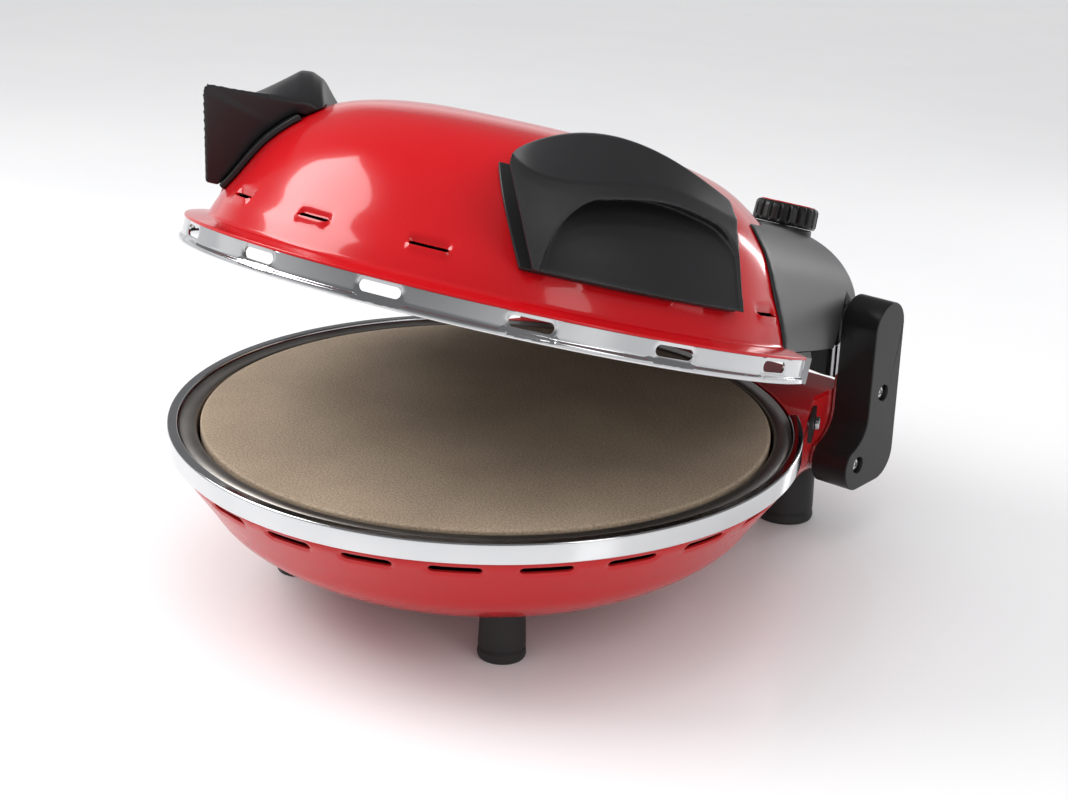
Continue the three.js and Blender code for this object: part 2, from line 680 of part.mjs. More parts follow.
// ---------- handles ----------
// the handle's curves, followed by t from 0 at the front end to 1 at the rear end: the hood's outer edge
// flares out and up into a pointed tip at the front, dips behind it and is highest past the middle
function hoodEdge(t) {
  const tip = Math.exp(-t / 0.06);
  const swell = Math.sin(Math.PI * (t - 0.08)) ** 2;
  return { deg: 35 + 50 * t, r: 148 + 28.5 * (1 - t) ** 2 + 5.5 * tip, rel: 75 + 8 * swell + 8.5 * tip };
}

const hoodFoot = (t) => ({ deg: 42 + 41.5 * t, r: 169 - 2 * t, rel: HANDLE.foot });

// the crest between them rises well clear of the dome
const hoodCrest = (t) => ({ deg: 34 + 50 * t, r: 126 + 10 * t * t, rel: 84.5 + 17.5 * Math.sin(Math.PI * t ** 0.8) });

function hoodRow(t) {
  const [edge, foot, crest] = [hoodEdge(t), hoodFoot(t), hoodCrest(t)];
  return [
    atBearing(foot.deg, 112, LID_Z + foot.rel),
    atBearing(foot.deg, foot.r, LID_Z + foot.rel),
    atBearing(edge.deg, edge.r, LID_Z + edge.rel - 5),
    atBearing(edge.deg, edge.r - 1.5, LID_Z + edge.rel),
    atBearing(crest.deg, crest.r + 5, LID_Z + crest.rel - 0.5),
    atBearing(crest.deg, crest.r - 1, LID_Z + crest.rel),
    atBearing(crest.deg, crest.r - 8, LID_Z + crest.rel - 3),
    atBearing(crest.deg, crest.r - 15, LID_Z + 78),
  ];
}

// the space for the fingers: open outwards and downwards, arched at the top
const ARCH = { front: 0.03, crownFrom: 0.3, crownTo: 0.85, rear: 0.985, reach: 0.2 };

function gripRow(t) {
  const rising = Math.max(0, (ARCH.crownFrom - t) / (ARCH.crownFrom - ARCH.front));
  const falling = Math.max(0, (t - ARCH.crownTo) / ARCH.reach);
  const arch = (1 - rising ** 2) * Math.sqrt(1 - falling ** 2);
  const high = HANDLE.foot + 1 + arch * (hoodEdge(t).rel - HANDLE.lip - HANDLE.foot - 1);
  const deg = (rel) => hoodFoot(t).deg + ((hoodEdge(t).deg - hoodFoot(t).deg) * (rel - HANDLE.foot)) / 50;
  const row = [];
  for (let i = 0; i <= 6; i += 1) {
    const rel = HANDLE.foot - 6 + ((high - HANDLE.foot + 6) * i) / 6;
    row.push(atBearing(deg(rel), domeRadius(rel) + HANDLE.plate + HANDLE.wall + 0.7, LID_Z + rel));
  }
  const mouth = [high, HANDLE.foot - 6].map((rel) => atBearing(deg(rel), 220, LID_Z + rel));
  return [...row, ...mouth];
}

function rows(from, to, count, makeRow) {
  return Array.from({ length: count }, (_, i) => makeRow(from + ((to - from) * i) / (count - 1)));
}

const HANDLE_SCREWS = [52, 76]; // bearings
const SCREW_REL = 50;

// a rod square to the dome's face at the handle screws' height
function handleScrewRod(deg, from, to, radius, facets) {
  const tilt = rad(27.8);
  const base = domeRadius(SCREW_REL);
  const at = (d) => atBearing(deg, base + d * Math.cos(tilt), LID_Z + SCREW_REL + d * Math.sin(tilt));
  return rod(at(from), at(to), radius, facets);
}

const handleScrew = (deg) => handleScrewRod(deg, -6, -3, 4, 14).add(handleScrewRod(deg, -3.1, 6, 2, 10));
const handleScrewHoles = () => HANDLE_SCREWS.map((deg) => handleScrewRod(deg, -8, 6.5, 2.3, 10));

function handleHood() {
  const body = lofted([...rows(0, 0.15, 4, hoodRow), ...rows(0.25, 1, 7, hoodRow)]);
  const space = lofted(rows(ARCH.front, ARCH.rear, 14, gripRow));
  const behindPlate = domeBody(HANDLE.plate + 0.8).intersect(disc(RING_R, 0, LID_Z + PLATE_TOP + GAP, FACETS));
  return cut(body, space, domeBody(0.5), behindPlate, ...handleScrewHoles());
}

const PLATE_TOP = 78; // rel

// the plate's front edge leans forwards at the top
function platePads(t) {
  const deg = (rel) => 83.5 * t + (1 - t) * (40 - 0.187 * (rel - HANDLE.foot));
  const [low, high] = [HANDLE.foot, PLATE_TOP];
  return [
    atBearing(deg(low), 100, LID_Z + low),
    atBearing(deg(low), 175, LID_Z + low),
    atBearing(deg(high), 150, LID_Z + high),
    atBearing(deg(high), 100, LID_Z + high),
  ];
}

// the curved mounting plate between the hood and the dome
function handlePlate() {
  const wedge = lofted(rows(0, 1, 8, platePads));
  return cut(wedge.intersect(domeBody(HANDLE.plate + 0.5)), domeBody(0.5), ...handleScrewHoles());
}

// ---------- assembly ----------
function piece(name, solid, look) {
  const mesh = new THREE.Mesh(toGeometry(solid), new THREE.MeshStandardMaterial(look));
  mesh.name = name;
  return mesh;
}

function pair(group, name, solid, look) {
  group.add(piece(`${name}_right`, solid, look), piece(`${name}_left`, mirrored(solid), look));
}

function buildBase() {
  const base = new THREE.Group();
  const [upperScrew, lowerScrew] = BLOCK_SCREWS;
  const headFace = BLOCK.inner + BLOCK.thick - 2.2;
  const wallHole = rod(v3(90, lowerScrew.x, lowerScrew.y), v3(140, lowerScrew.x, lowerScrew.y), 2.3, 10);
  const sideHoles = [wallHole, bracketHole()];
  base.add(piece("base_shell", baseShell([...sideHoles, ...sideHoles.map(mirrored), glandHole()]), RED));
  base.add(piece("base_rim_band", baseBand(), STEEL));
  pair(base, "band_bracket", bandBracket(), BLACK);
  pair(base, "band_bracket_screw", ontoFlank(screwAlongX(5.7, BRACKET.screw, BRACKET.z, 4, 7)), STEEL);
  const lowerTool = element(104, LOWER_ELEMENT_Z, 176, TUBE_R + 0.7);
  base.add(piece("inner_pan", innerPan(lowerTool), DARK_STEEL));
  base.add(piece("pizza_stone", pizzaStone(), STONE_BROWN));
  base.add(piece("lower_heating_element", element(104, LOWER_ELEMENT_Z, 176, TUBE_R), DARK_STEEL));
  [0, 105, -105].forEach((deg, i) => {
    const clip = elementClip(deg, 104, 66 + GAP, 80).subtract(lowerTool);
    base.add(piece(`lower_element_clip_${i + 1}`, clip, STEEL));
  });
  const bowlTool = turned([...offset(bowlOutline, GAP), v2(190, 95), v2(0, 95)], FACETS);
  pair(base, "front_foot", footSolid(FRONT_FOOT, 34).subtract(bowlTool), RUBBER);
  pair(base, "rear_foot", footSolid(REAR_FOOT, EXT_FLOOR - GAP), RUBBER);
  pair(base, "front_foot_screw", screwUp(FRONT_FOOT.x, FRONT_FOOT.y, 6.3, 4, 26), STEEL);
  pair(base, "rear_foot_screw", screwUp(REAR_FOOT.x, REAR_FOOT.y, 6.3, 4, 36), STEEL);
  base.add(piece("rear_deck", rearDeck(), RED));
  pair(base, "hinge_block", hingeBlock(pinHole()), BLACK);
  pair(base, "hinge_plate", hingePlate(pinHole()), STEEL);
  pair(base, "hinge_pin", hingePin(), STEEL);
  pair(base, "hinge_block_upper_screw", screwAlongX(headFace, upperScrew.x, upperScrew.y, 4.2, 17), STEEL);
  pair(base, "hinge_block_lower_screw", screwAlongX(headFace, lowerScrew.x, lowerScrew.y, 4.2, 24), STEEL);
  base.add(piece("cord_gland", cordGland(), RUBBER));
  base.add(piece("terminal_block", terminalBlock(), CERAMIC));
  base.add(piece("thermal_fuse", thermalFuse(), STEEL));
  pair(base, "lower_lead", lead(v3(14, 177.4, 74), v3(16, 189, 46), 1.3), WIRE);
  return base;
}

function buildLid() {
  const lid = new THREE.Group();
  const upperZ = LID_Z + UPPER_ELEMENT_REL;
  const upperTool = element(100, upperZ, 172, TUBE_R + 0.7);
  const holes = handleScrewHoles();
  lid.add(piece("lid_shell", lidShell([upperTool, ...holes, ...holes.map(mirrored)]), RED));
  lid.add(piece("lid_ring", lidRing(), STEEL));
  lid.add(piece("upper_reflector", reflector(upperTool), DARK_STEEL));
  lid.add(piece("upper_heating_element", element(100, upperZ, 172, TUBE_R), DARK_STEEL));
  [0, 105, -105].forEach((deg, i) => {
    const clip = elementClip(deg, 100, upperZ - 6, LID_Z + 53.6).subtract(upperTool);
    lid.add(piece(`upper_element_clip_${i + 1}`, clip, STEEL));
  });
  pair(lid, "handle", handleHood(), CHARCOAL);
  pair(lid, "handle_plate", handlePlate(), CHARCOAL);
  pair(lid, "handle_front_screw", handleScrew(HANDLE_SCREWS[0]), STEEL);
  pair(lid, "handle_rear_screw", handleScrew(HANDLE_SCREWS[1]), STEEL);
  const screwX = HOUSING_SCREW.x;
  const plateHole = disc(2.3, 100, 120, 10, v3(screwX, HOUSING_SCREW.y, 0));
  lid.add(piece("lid_hinge_bracket", cut(hingeBracket(), plateHole, mirrored(plateHole)), STEEL));
  pair(lid, "housing_screw", screwUp(screwX, HOUSING_SCREW.y, 106.7, 3, 14), STEEL);
  lid.add(piece("rear_housing", rearHousing(), CHARCOAL));
  lid.add(piece("thermostat", thermostat(), CERAMIC));
  lid.add(buildKnob());
  lid.position.set(0, PIVOT.y, PIVOT.z);
  lid.rotation.x = -rad(OPEN_DEG);
  lid.children.forEach((child) => child.position.set(0, -PIVOT.y, -PIVOT.z));
  return lid;
}

function buildKnob() {
  const group = new THREE.Group();
  group.add(piece("knob", knob(), BLACK));
  group.add(piece("knob_ring", knobRing(), RED));
  group.add(piece("thermostat_shaft", thermostatShaft(), STEEL));
  return group;
}

const oven = new THREE.Group();
oven.position.y = ROOT_Y;
oven.add(buildBase(), buildLid());

export default oven;
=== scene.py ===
"""Looks of a countertop pizza oven: smooth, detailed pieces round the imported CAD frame.

Sizes are in millimetres in the oven's own frame: X to the right, -Y to the front, Z up, with the
origin on the table under the middle of the round base. Lid pieces are drawn closed and then tilted
open with the hinge. Heights marked rel are measured from the closed lid's lower edge.
"""

import json
import math
from math import cos, pi, radians, sin

import bmesh
import bpy
from mathutils import Matrix, Vector
from mathutils.geometry import delaunay_2d_cdt


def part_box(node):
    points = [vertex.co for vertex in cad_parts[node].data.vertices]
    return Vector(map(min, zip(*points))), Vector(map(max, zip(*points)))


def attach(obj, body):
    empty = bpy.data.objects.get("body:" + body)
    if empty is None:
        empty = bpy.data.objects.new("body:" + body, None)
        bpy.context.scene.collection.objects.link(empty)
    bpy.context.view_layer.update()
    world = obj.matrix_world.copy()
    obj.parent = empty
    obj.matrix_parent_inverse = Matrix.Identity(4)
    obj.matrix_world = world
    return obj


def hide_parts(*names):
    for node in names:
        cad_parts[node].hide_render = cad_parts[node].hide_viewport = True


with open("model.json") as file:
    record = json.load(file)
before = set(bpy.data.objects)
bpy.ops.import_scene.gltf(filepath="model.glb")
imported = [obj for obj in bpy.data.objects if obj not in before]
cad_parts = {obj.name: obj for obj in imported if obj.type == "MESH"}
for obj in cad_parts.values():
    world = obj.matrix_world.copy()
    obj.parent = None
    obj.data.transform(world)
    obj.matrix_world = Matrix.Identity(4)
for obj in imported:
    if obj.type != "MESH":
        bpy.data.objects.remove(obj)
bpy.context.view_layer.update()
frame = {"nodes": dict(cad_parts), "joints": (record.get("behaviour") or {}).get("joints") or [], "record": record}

MM = 0.001

# ---------- the frame ----------
band_low, band_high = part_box("base_rim_band")
hinge = frame["joints"][0]
RING_R = (band_high.x - band_low.x) / 2 / MM
RIM_Z = band_high.z / MM
RING_Y = band_low.y + RING_R * MM  # the oven frame's origin, in the row frame
OPEN = radians(-hinge["range_deg"][0])
PIVOT = Vector((0, (hinge["pos_m"][1] - RING_Y) / MM, hinge["pos_m"][2] / MM))
LID_Z = RIM_Z + 1  # lower edge of the closed lid

BASE = Matrix.Translation((0, RING_Y, 0)) @ Matrix.Scale(MM, 4)
LID = BASE @ Matrix.Translation(PIVOT) @ Matrix.Rotation(-OPEN, 4, "X") @ Matrix.Translation(-PIVOT)

# ---------- driving sizes ----------
DOME_KNOTS = [
    (0, 100.6), (60, 99.1), (100, 91.7), (125, 78.3), (142, 61.6), (154, 38.9), (160, 27.7), (164, 18),
]
DOME_SPLIT = LID_Z + 46  # the louvres are below this height
BOWL_KNOTS = [(74, 18), (98, 22.5), (127, 33), (148, 47), (159, 62), (167, 73.5), (172.2, 81), (173.6, 88)]
BOWL_SPLIT = 66  # the ventilation slots are above this height
# first, pitch and last are bearings in degrees: at the back, past last, the wall has no openings
BOWL_SLOTS = {"count": 24, "first": -9, "pitch": 15, "z": 78.8, "length": 27, "height": 5.4, "last": 135}
LOUVRES = {"last": 96, "pitch": 24, "z": LID_Z + 32, "length": 21, "height": 3.0, "hood": 1.7, "lip": -1.2}
RING_SLOTS = {"count": 8, "first": -76.5, "pitch": 24, "z": LID_Z + 8.3, "length": 22, "height": 5.6}
# thickness of each sheet
SHEET = {"bowl": 1.6, "dome": 1.2, "band": 1.0, "pan": 1.0, "lid_ring": 1.1, "reflector": 0.9}
STRAP_DEG = 103.5  # bearing at which the lid ring ends and the hinge strap takes over
BAND_END_DEG = 133
SWEEP_DEG = 112  # bearing at which the round sides run straight towards the hinge
EXT_HALF, EXT_FRONT, EXT_REAR, EXT_FLOOR = 107.5, 172, 208, 36
DECK_Z = 88
STONE_R, STONE_BOTTOM, STONE_THICK = 158, 83.9, 11.6
FRONT_FOOT = {"x": 76, "y": -72, "top": 12, "bottom": 13}
REAR_FOOT = {"x": 84, "y": 188, "top": 16.5, "bottom": 17.5}
BLOCK_INNER, BLOCK_THICK = 111, 24
# the block's rounded top end, and the neck where its front curves out into the foot lobe
BLOCK = {"y": 206, "top": 129, "half": 16, "neck": 78, "lobe_y": 184}
PLATE_INNER, PLATE_THICK = 107.8, 2.8
BLOCK_SCREWS = [("upper", 205, 89), ("lower", 183, 49)]
TUBE_R = 3.5  # sheath of the heating elements
HOUSING = {
    "half": 106.5, "front": 105, "rear": 224, "top": 173, "bottom": 112,
    "wall": 2.5, "roll": 46, "corner": 24,
}
HOUSING_FRONT = HOUSING["front"] - 4  # bearing of the housing's front ends, before rounding
RECESS = {"radius": 46, "inner": 107, "deep": 60}  # the round space that turns past each hinge block
CASING_ROUND = 11  # radius between the rear casing's floor and its walls
KNOB = {"x": 52, "y": 190, "r": 19.5, "bottom": 174.4, "height": 13, "flutes": 20}
HANDLE = {"foot": 32, "plate": 3, "wall": 4, "lip": 7.5, "plate_top": 78}
ARCH = {"front": 0.03, "crown_from": 0.3, "crown_to": 0.85, "rear": 0.985, "reach": 0.2}
SIDES = {"right": 1, "left": -1}


# ---------- curves ----------
def spline(knots, steps):
    """A smooth curve through the knots, with the same blend between them that the CAD uses."""
    last = len(knots) - 1
    points = []
    for i in range(last):
        a, b = Vector(knots[max(i - 1, 0)]), Vector(knots[i])
        c, d = Vector(knots[i + 1]), Vector(knots[min(i + 2, last)])
        for k in range(steps):
            t = k / steps
            v0, v1 = (c - a) / 2, (d - b) / 2
            cubic, square = 2 * b - 2 * c + v0 + v1, 3 * c - 3 * b - 2 * v0 - v1
            points.append(cubic * t**3 + square * t**2 + v0 * t + b)
    return points + [Vector(knots[last])]


def filleted(points, radius, steps=5, closed=False):
    """The polyline with each corner rounded off, as far as its sides have room."""
    points = [Vector(p) for p in points]
    count = len(points)
    result = []
    for i, p in enumerate(points):
        if not closed and i in (0, count - 1):
            result.append(p)
            continue
        before, after = points[i - 1] - p, points[(i + 1) % count] - p
        turn = before.angle(after)
        reach = min(radius / max(math.tan(turn / 2), 1e-6), before.length * 0.48, after.length * 0.48)
        start, end = p + before.normalized() * reach, p + after.normalized() * reach
        for k in range(steps + 1):
            t = k / steps
            result.append(start * (1 - t) ** 2 + p * 2 * t * (1 - t) + end * t * t)
    return result


def arc(cx, cy, radius, start, end, steps=10):
    """Points round a centre, with the angles in degrees."""
    turns = [radians(start + (end - start) * k / steps) for k in range(steps + 1)]
    return [Vector((cx + radius * cos(a), cy + radius * sin(a))) for a in turns]


def offset(points, distance):
    """The same outline moved inwards by a wall's thickness."""
    moved = []
    for i, p in enumerate(points):
        along = (points[min(i + 1, len(points) - 1)] - points[max(i - 1, 0)]).normalized()
        q = Vector((p.x + along.y * distance, p.y - along.x * distance))
        moved.append(Vector((0, q.y)) if p.x == 0 else q)
    return moved


def at_bearing(deg, radius, z):
    return Vector((radius * sin(radians(deg)), -radius * cos(radians(deg)), z))


def smoothstep(t):
    t = min(max(t, 0), 1)
    return t * t * (3 - 2 * t)


DOME = spline(DOME_KNOTS, 14)
BOWL = [Vector((0, BOWL_KNOTS[0][1]))] + spline(BOWL_KNOTS, 10)


def radius_at(outline, height):
    """Radius of a turned outline at a height."""
    for p, q in zip(outline, outline[1:]):
        low, high = sorted((p.y, q.y))
        if low <= height <= high and high > low:
            return p.x + (q.x - p.x) * (height - p.y) / (q.y - p.y)
    return outline[0].x if abs(height - outline[0].y) < abs(height - outline[-1].y) else outline[-1].x


def height_at(outline, radius):
    """Height of a turned outline at a radius."""
    for p, q in zip(outline, outline[1:]):
        low, high = sorted((p.x, q.x))
        if low <= radius <= high and high > low:
            return p.y + (q.y - p.y) * (radius - p.x) / (q.x - p.x)
    return outline[-1].y


# ---------- meshes ----------
def new_object(name, vertices, faces, where=BASE):
    mesh = bpy.data.meshes.new(name)
    mesh.from_pydata([where @ Vector(v) for v in vertices], [], faces)
    work = bmesh.new()
    work.from_mesh(mesh)
    bmesh.ops.remove_doubles(work, verts=work.verts, dist=0.01 * MM)
    bmesh.ops.dissolve_degenerate(work, edges=work.edges, dist=0.001 * MM)
    bmesh.ops.recalc_face_normals(work, faces=work.faces)
    work.to_mesh(mesh)
    work.free()
    mesh.shade_smooth()
    obj = bpy.data.objects.new(name, mesh)
    bpy.context.scene.collection.objects.link(obj)
    return obj


def grid_faces(rows, columns, wrap=False):
    """Quads between rows of points; wrap joins each row's end to its start."""
    faces = []
    for i in range(rows - 1):
        for j in range(columns if wrap else columns - 1):
            k = (j + 1) % columns
            faces.append((i * columns + j, i * columns + k, (i + 1) * columns + k, (i + 1) * columns + j))
    return faces


def lofted(name, rows, where=BASE):
    """A closed solid through rows of points, each row a closed loop."""
    width = len(rows[0])
    vertices = [Vector(p) for row in rows for p in row]
    faces = grid_faces(len(rows), width, wrap=True)
    for first in (0, (len(rows) - 1) * width):
        loop = list(range(first, first + width))
        vertices.append(sum((vertices[i] for i in loop), Vector((0, 0, 0))) / width)
        hub = len(vertices) - 1
        faces += [(loop[i], loop[(i + 1) % width], hub) for i in range(width)]
    return new_object(name, vertices, faces, where)


def turned(name, outline, where=BASE, centre=(0, 0), columns=192, loop=False):
    """An outline of (radius, height) turned all the way round; loop joins its two ends."""
    outline = list(outline) + ([outline[0]] if loop else [])
    vertices = []
    for p in outline:
        for j in range(columns):
            v = at_bearing(360 * j / columns, p[0], p[1])
            vertices.append(v + Vector((*centre, 0)))
    return new_object(name, vertices, grid_faces(len(outline), columns, wrap=True), where)


def turned_about(name, outline, matrix, columns=32):
    """An outline of (radius, height) turned about the matrix's Z axis, closed at both ends."""
    vertices = [matrix @ at_bearing(360 * j / columns, p[0], p[1]) for p in outline for j in range(columns)]
    return new_object(name, vertices, grid_faces(len(outline), columns, wrap=True), Matrix.Identity(4))


def skin_between(outline, first, last, columns):
    """Vertices and faces of an outline of (radius, height) turned between two bearings."""
    vertices = []
    for p in outline:
        for j in range(columns + 1):
            vertices.append(at_bearing(first + (last - first) * j / columns, p.x, p.y))
    return vertices, grid_faces(len(outline), columns + 1)


def stadium(x, y, slot):
    """How far a point on the unrolled wall is from a round-ended slot's edge."""
    along = max(abs(x) - (slot["length"] - slot["height"]) / 2, 0)
    return math.hypot(along, y) - slot["height"] / 2


def stadium_loop(slot, distance, count=26):
    """Points round a slot, a given distance outside its edge."""
    straight = (slot["length"] - slot["height"]) / 2
    radius = slot["height"] / 2 + distance
    half = count // 2
    right = arc(straight, 0, radius, -90, 90, half - 1)
    left = arc(-straight, 0, radius, 90, 270, half - 1)
    top = [Vector((straight - straight * 2 * k / 6, radius)) for k in range(1, 6)]
    bottom = [Vector((-straight + straight * 2 * k / 6, -radius)) for k in range(1, 6)]
    return right + top + left + bottom


def pierced(outline, first, last, columns, slots, pressed):
    """Vertices and faces of a turned skin between two bearings, with round-ended slots through it.

    pressed(x, y, distance) says how far the skin stands out near a slot.
    """
    lengths = [0]
    for p, q in zip(outline, outline[1:]):
        lengths.append(lengths[-1] + (q - p).length)
    scale = radians(1) * max(p.x for p in outline)  # millimetres along the wall in a degree
    total = lengths[-1]

    def along(s):
        s = min(max(s, 0), total)
        i = next((k for k in range(1, len(lengths)) if s <= lengths[k]), len(lengths) - 1)
        t = (s - lengths[i - 1]) / (lengths[i] - lengths[i - 1])
        p = outline[i - 1].lerp(outline[i], t)
        before = outline[i] - outline[max(i - 2, 0)]
        after = outline[min(i + 1, len(outline) - 1)] - outline[i - 1]
        tangent = before.lerp(after, t).normalized()
        return p, Vector((tangent.y, -tangent.x))

    def level(height):
        for i in range(1, len(outline)):
            low, high = sorted((outline[i - 1].y, outline[i].y))
            if low <= height <= high:
                t = (height - outline[i - 1].y) / (outline[i].y - outline[i - 1].y)
                return lengths[i - 1] + t * (lengths[i] - lengths[i - 1])
        return total / 2

    places = [(slot, slot["deg"] * scale, level(slot["z"])) for slot in slots]
    rings = (0, 0.5, 1.1, 2.0, 3.2)
    points, edges, loops = [], [], []
    for slot, x, s in places:
        for distance in rings:
            start = len(points)
            loop = stadium_loop(slot, distance)
            points += [Vector((x + p.x, s + p.y)) for p in loop]
            ids = list(range(start, start + len(loop)))
            edges += [(ids[k], ids[(k + 1) % len(ids)]) for k in range(len(ids))]
            if distance == 0:
                loops.append(ids)
    grid = {}
    for j in range(columns + 1):
        x = (first + (last - first) * j / columns) * scale
        for i, s in enumerate(lengths):
            near = min((stadium(x - cx, s - cs, slot) for slot, cx, cs in places), default=99)
            if near > rings[-1] + 0.7 or i in (0, len(lengths) - 1):
                grid[i, j] = len(points)
                points.append(Vector((x, s)))
    rows = len(lengths)
    for j in range(columns):
        edges += [(grid[i, j], grid[i, j + 1]) for i in (0, rows - 1)]
    for i in range(rows - 1):
        edges += [(grid[i, j], grid[i + 1, j]) for j in (0, columns) if (i, j) in grid and (i + 1, j) in grid]
    flat, _, triangles, _, _, owners = delaunay_2d_cdt(points, edges, loops, 0, 1e-4)
    vertices = []
    for q in flat:
        p, out = along(q.y)
        stand = 0
        for slot, cx, cs in places:
            distance = stadium(q.x - cx, q.y - cs, slot)
            if distance < 12:
                stand += pressed(q.x - cx, q.y - cs, max(distance, 0))
        vertices.append(at_bearing(q.x / scale, p.x + out.x * stand, p.y + out.y * stand))
    faces = [tuple(f) for f, owner in zip(triangles, owners) if not owner]
    return vertices, faces


def added(vertices, faces, more_vertices, more_faces):
    start = len(vertices)
    return vertices + more_vertices, faces + [tuple(i + start for i in f) for f in more_faces]


def apply_modifiers(obj):
    shown = obj.evaluated_get(bpy.context.evaluated_depsgraph_get())
    mesh = bpy.data.meshes.new_from_object(shown)
    obj.modifiers.clear()
    obj.data = mesh


def carve(obj, cutter, operation="DIFFERENCE"):
    cut = obj.modifiers.new("cut", "BOOLEAN")
    cut.operation, cut.solver, cut.object = operation, "EXACT", cutter
    apply_modifiers(obj)
    bpy.data.objects.remove(cutter)


def thickened(obj, wall):
    thick = obj.modifiers.new("wall", "SOLIDIFY")
    thick.thickness, thick.offset = wall * MM, -1
    return obj


def softened(obj, width, segments=2, angle=32):
    """Rounds every edge sharper than the angle, and shades the rest smooth."""
    bevel = obj.modifiers.new("edges", "BEVEL")
    bevel.width, bevel.segments, bevel.limit_method = width * MM, segments, "ANGLE"
    bevel.angle_limit, bevel.harden_normals = radians(angle), True
    return obj


def creased(obj, angle=40):
    split = obj.modifiers.new("creases", "EDGE_SPLIT")
    split.split_angle = radians(angle)
    return obj


def moulded(obj, voxel, rounds):
    """Turns a carved solid into one even mesh with every edge rounded over, like moulded plastic."""
    remesh = obj.modifiers.new("even mesh", "REMESH")
    remesh.mode, remesh.voxel_size, remesh.use_smooth_shade = "VOXEL", voxel * MM, True
    smooth = obj.modifiers.new("rounding", "SMOOTH")
    smooth.factor, smooth.iterations = 0.5, rounds
    apply_modifiers(obj)
    obj.data.shade_smooth()
    return obj


# ---------- materials ----------
def node_material(name, base, rough, metallic=0.0):
    """A new material with its shader, and a helper that adds and wires a node.

    The helper's inputs go by name, with _ for a space, or by number as i0, i1 and so on.
    """
    mat = bpy.data.materials.new(name)
    mat.use_nodes = True
    tree = mat.node_tree
    shader = tree.nodes["Principled BSDF"]
    shader.inputs["Base Color"].default_value = (*base, 1)
    shader.inputs["Roughness"].default_value = rough
    shader.inputs["Metallic"].default_value = metallic

    def add(kind, settings=None, **inputs):
        node = tree.nodes.new("ShaderNode" + kind)
        for key, value in (settings or {}).items():
            setattr(node, key, value)
        for key, value in inputs.items():
            by_number = key[0] == "i" and key[1:].isdigit()
            socket = node.inputs[int(key[1:]) if by_number else key.replace("_", " ")]
            if isinstance(value, bpy.types.NodeSocket):
                tree.links.new(value, socket)
            else:
                socket.default_value = value
        return node

    return mat, tree, shader, add


def mixed(add, factor, first, second):
    node = add("MixRGB", i0=factor, i1=(*first, 1), i2=(*second, 1))
    return node.outputs[0]


def ranged(add, value, low, high):
    return add("MapRange", Value=value, To_Min=low, To_Max=high).outputs[0]


def bump(add, tree, shader, height, strength, distance):
    node = add("Bump", Height=height, Strength=strength, Distance=distance * MM)
    tree.links.new(node.outputs["Normal"], shader.inputs["Normal"])


def speckled(name, dark, light, rough, metallic=0.0, grain=900, blotch=30, grain_depth=0.05, spread=0.08):
    """Fine grain in the surface, and slow blotches in its colour and roughness: material and shader."""
    mat, tree, shader, add = node_material(name, dark, rough, metallic)
    place = add("TexCoord").outputs["Object"]
    slow = add("TexNoise", Vector=place, Scale=blotch, Detail=4.0, Roughness=0.6).outputs["Fac"]
    fine = add("TexNoise", Vector=place, Scale=grain, Detail=2.0, Roughness=0.55).outputs["Fac"]
    tree.links.new(mixed(add, slow, dark, light), shader.inputs["Base Color"])
    tree.links.new(ranged(add, slow, rough - spread, rough + spread), shader.inputs["Roughness"])
    bump(add, tree, shader, fine, 0.6, grain_depth)
    return mat, shader


def red_enamel(name, dark, light, coat):
    """Stoved enamel under a clear coat of the given weight, with a faint ripple."""
    mat, shader = speckled(name, dark, light, 0.24, grain=260, blotch=9, grain_depth=0.012, spread=0.03)
    shader.inputs["Coat Weight"].default_value = coat
    shader.inputs["Coat Roughness"].default_value = 0.07
    shader.inputs["Specular IOR Level"].default_value = 0.18
    return mat


def polished_steel():
    """Stainless steel polished round the rim: long fine scratches that follow the ring."""
    mat, tree, shader, add = node_material("polished_steel", (0.78, 0.79, 0.8), 0.1, 1.0)
    place = add("TexCoord").outputs["Object"]
    centred = add("VectorMath", {"operation": "SUBTRACT"}, i0=place, i1=(0, RING_Y, 0)).outputs[0]
    parts = add("SeparateXYZ", i0=centred)
    turn = add("Math", {"operation": "ARCTAN2"}, i0=parts.outputs[1], i1=parts.outputs[0]).outputs[0]
    reach = add("VectorMath", {"operation": "LENGTH"}, i0=centred).outputs["Value"]
    slow_turn = add("Math", {"operation": "MULTIPLY"}, i0=turn, i1=0.004).outputs[0]
    lines = add("CombineXYZ", X=slow_turn, Y=reach, Z=parts.outputs[2]).outputs[0]
    scratch = add("TexNoise", Vector=lines, Scale=2600.0, Detail=3.0, Roughness=0.7).outputs["Fac"]
    smear = add("TexNoise", Vector=place, Scale=24.0, Detail=3.0).outputs["Fac"]
    tree.links.new(mixed(add, smear, (0.58, 0.59, 0.6), (0.72, 0.72, 0.73)), shader.inputs["Base Color"])
    tree.links.new(ranged(add, smear, 0.07, 0.17), shader.inputs["Roughness"])
    bump(add, tree, shader, scratch, 0.12, 0.02)
    return mat


def satin_metal(name, dark, light, rough):
    """Rolled sheet or drawn tube with heat tint and fine scratches."""
    return speckled(name, dark, light, rough, 1.0, grain=1500, blotch=22, grain_depth=0.02, spread=0.1)[0]


def moulded_plastic(name, dark, light, rough, grain_depth):
    """Satin plastic with the fine texture of its mould."""
    mat, shader = speckled(
        name, dark, light, rough, grain=1700, blotch=16, grain_depth=grain_depth, spread=0.04
    )
    shader.inputs["Specular IOR Level"].default_value = 0.34
    return mat


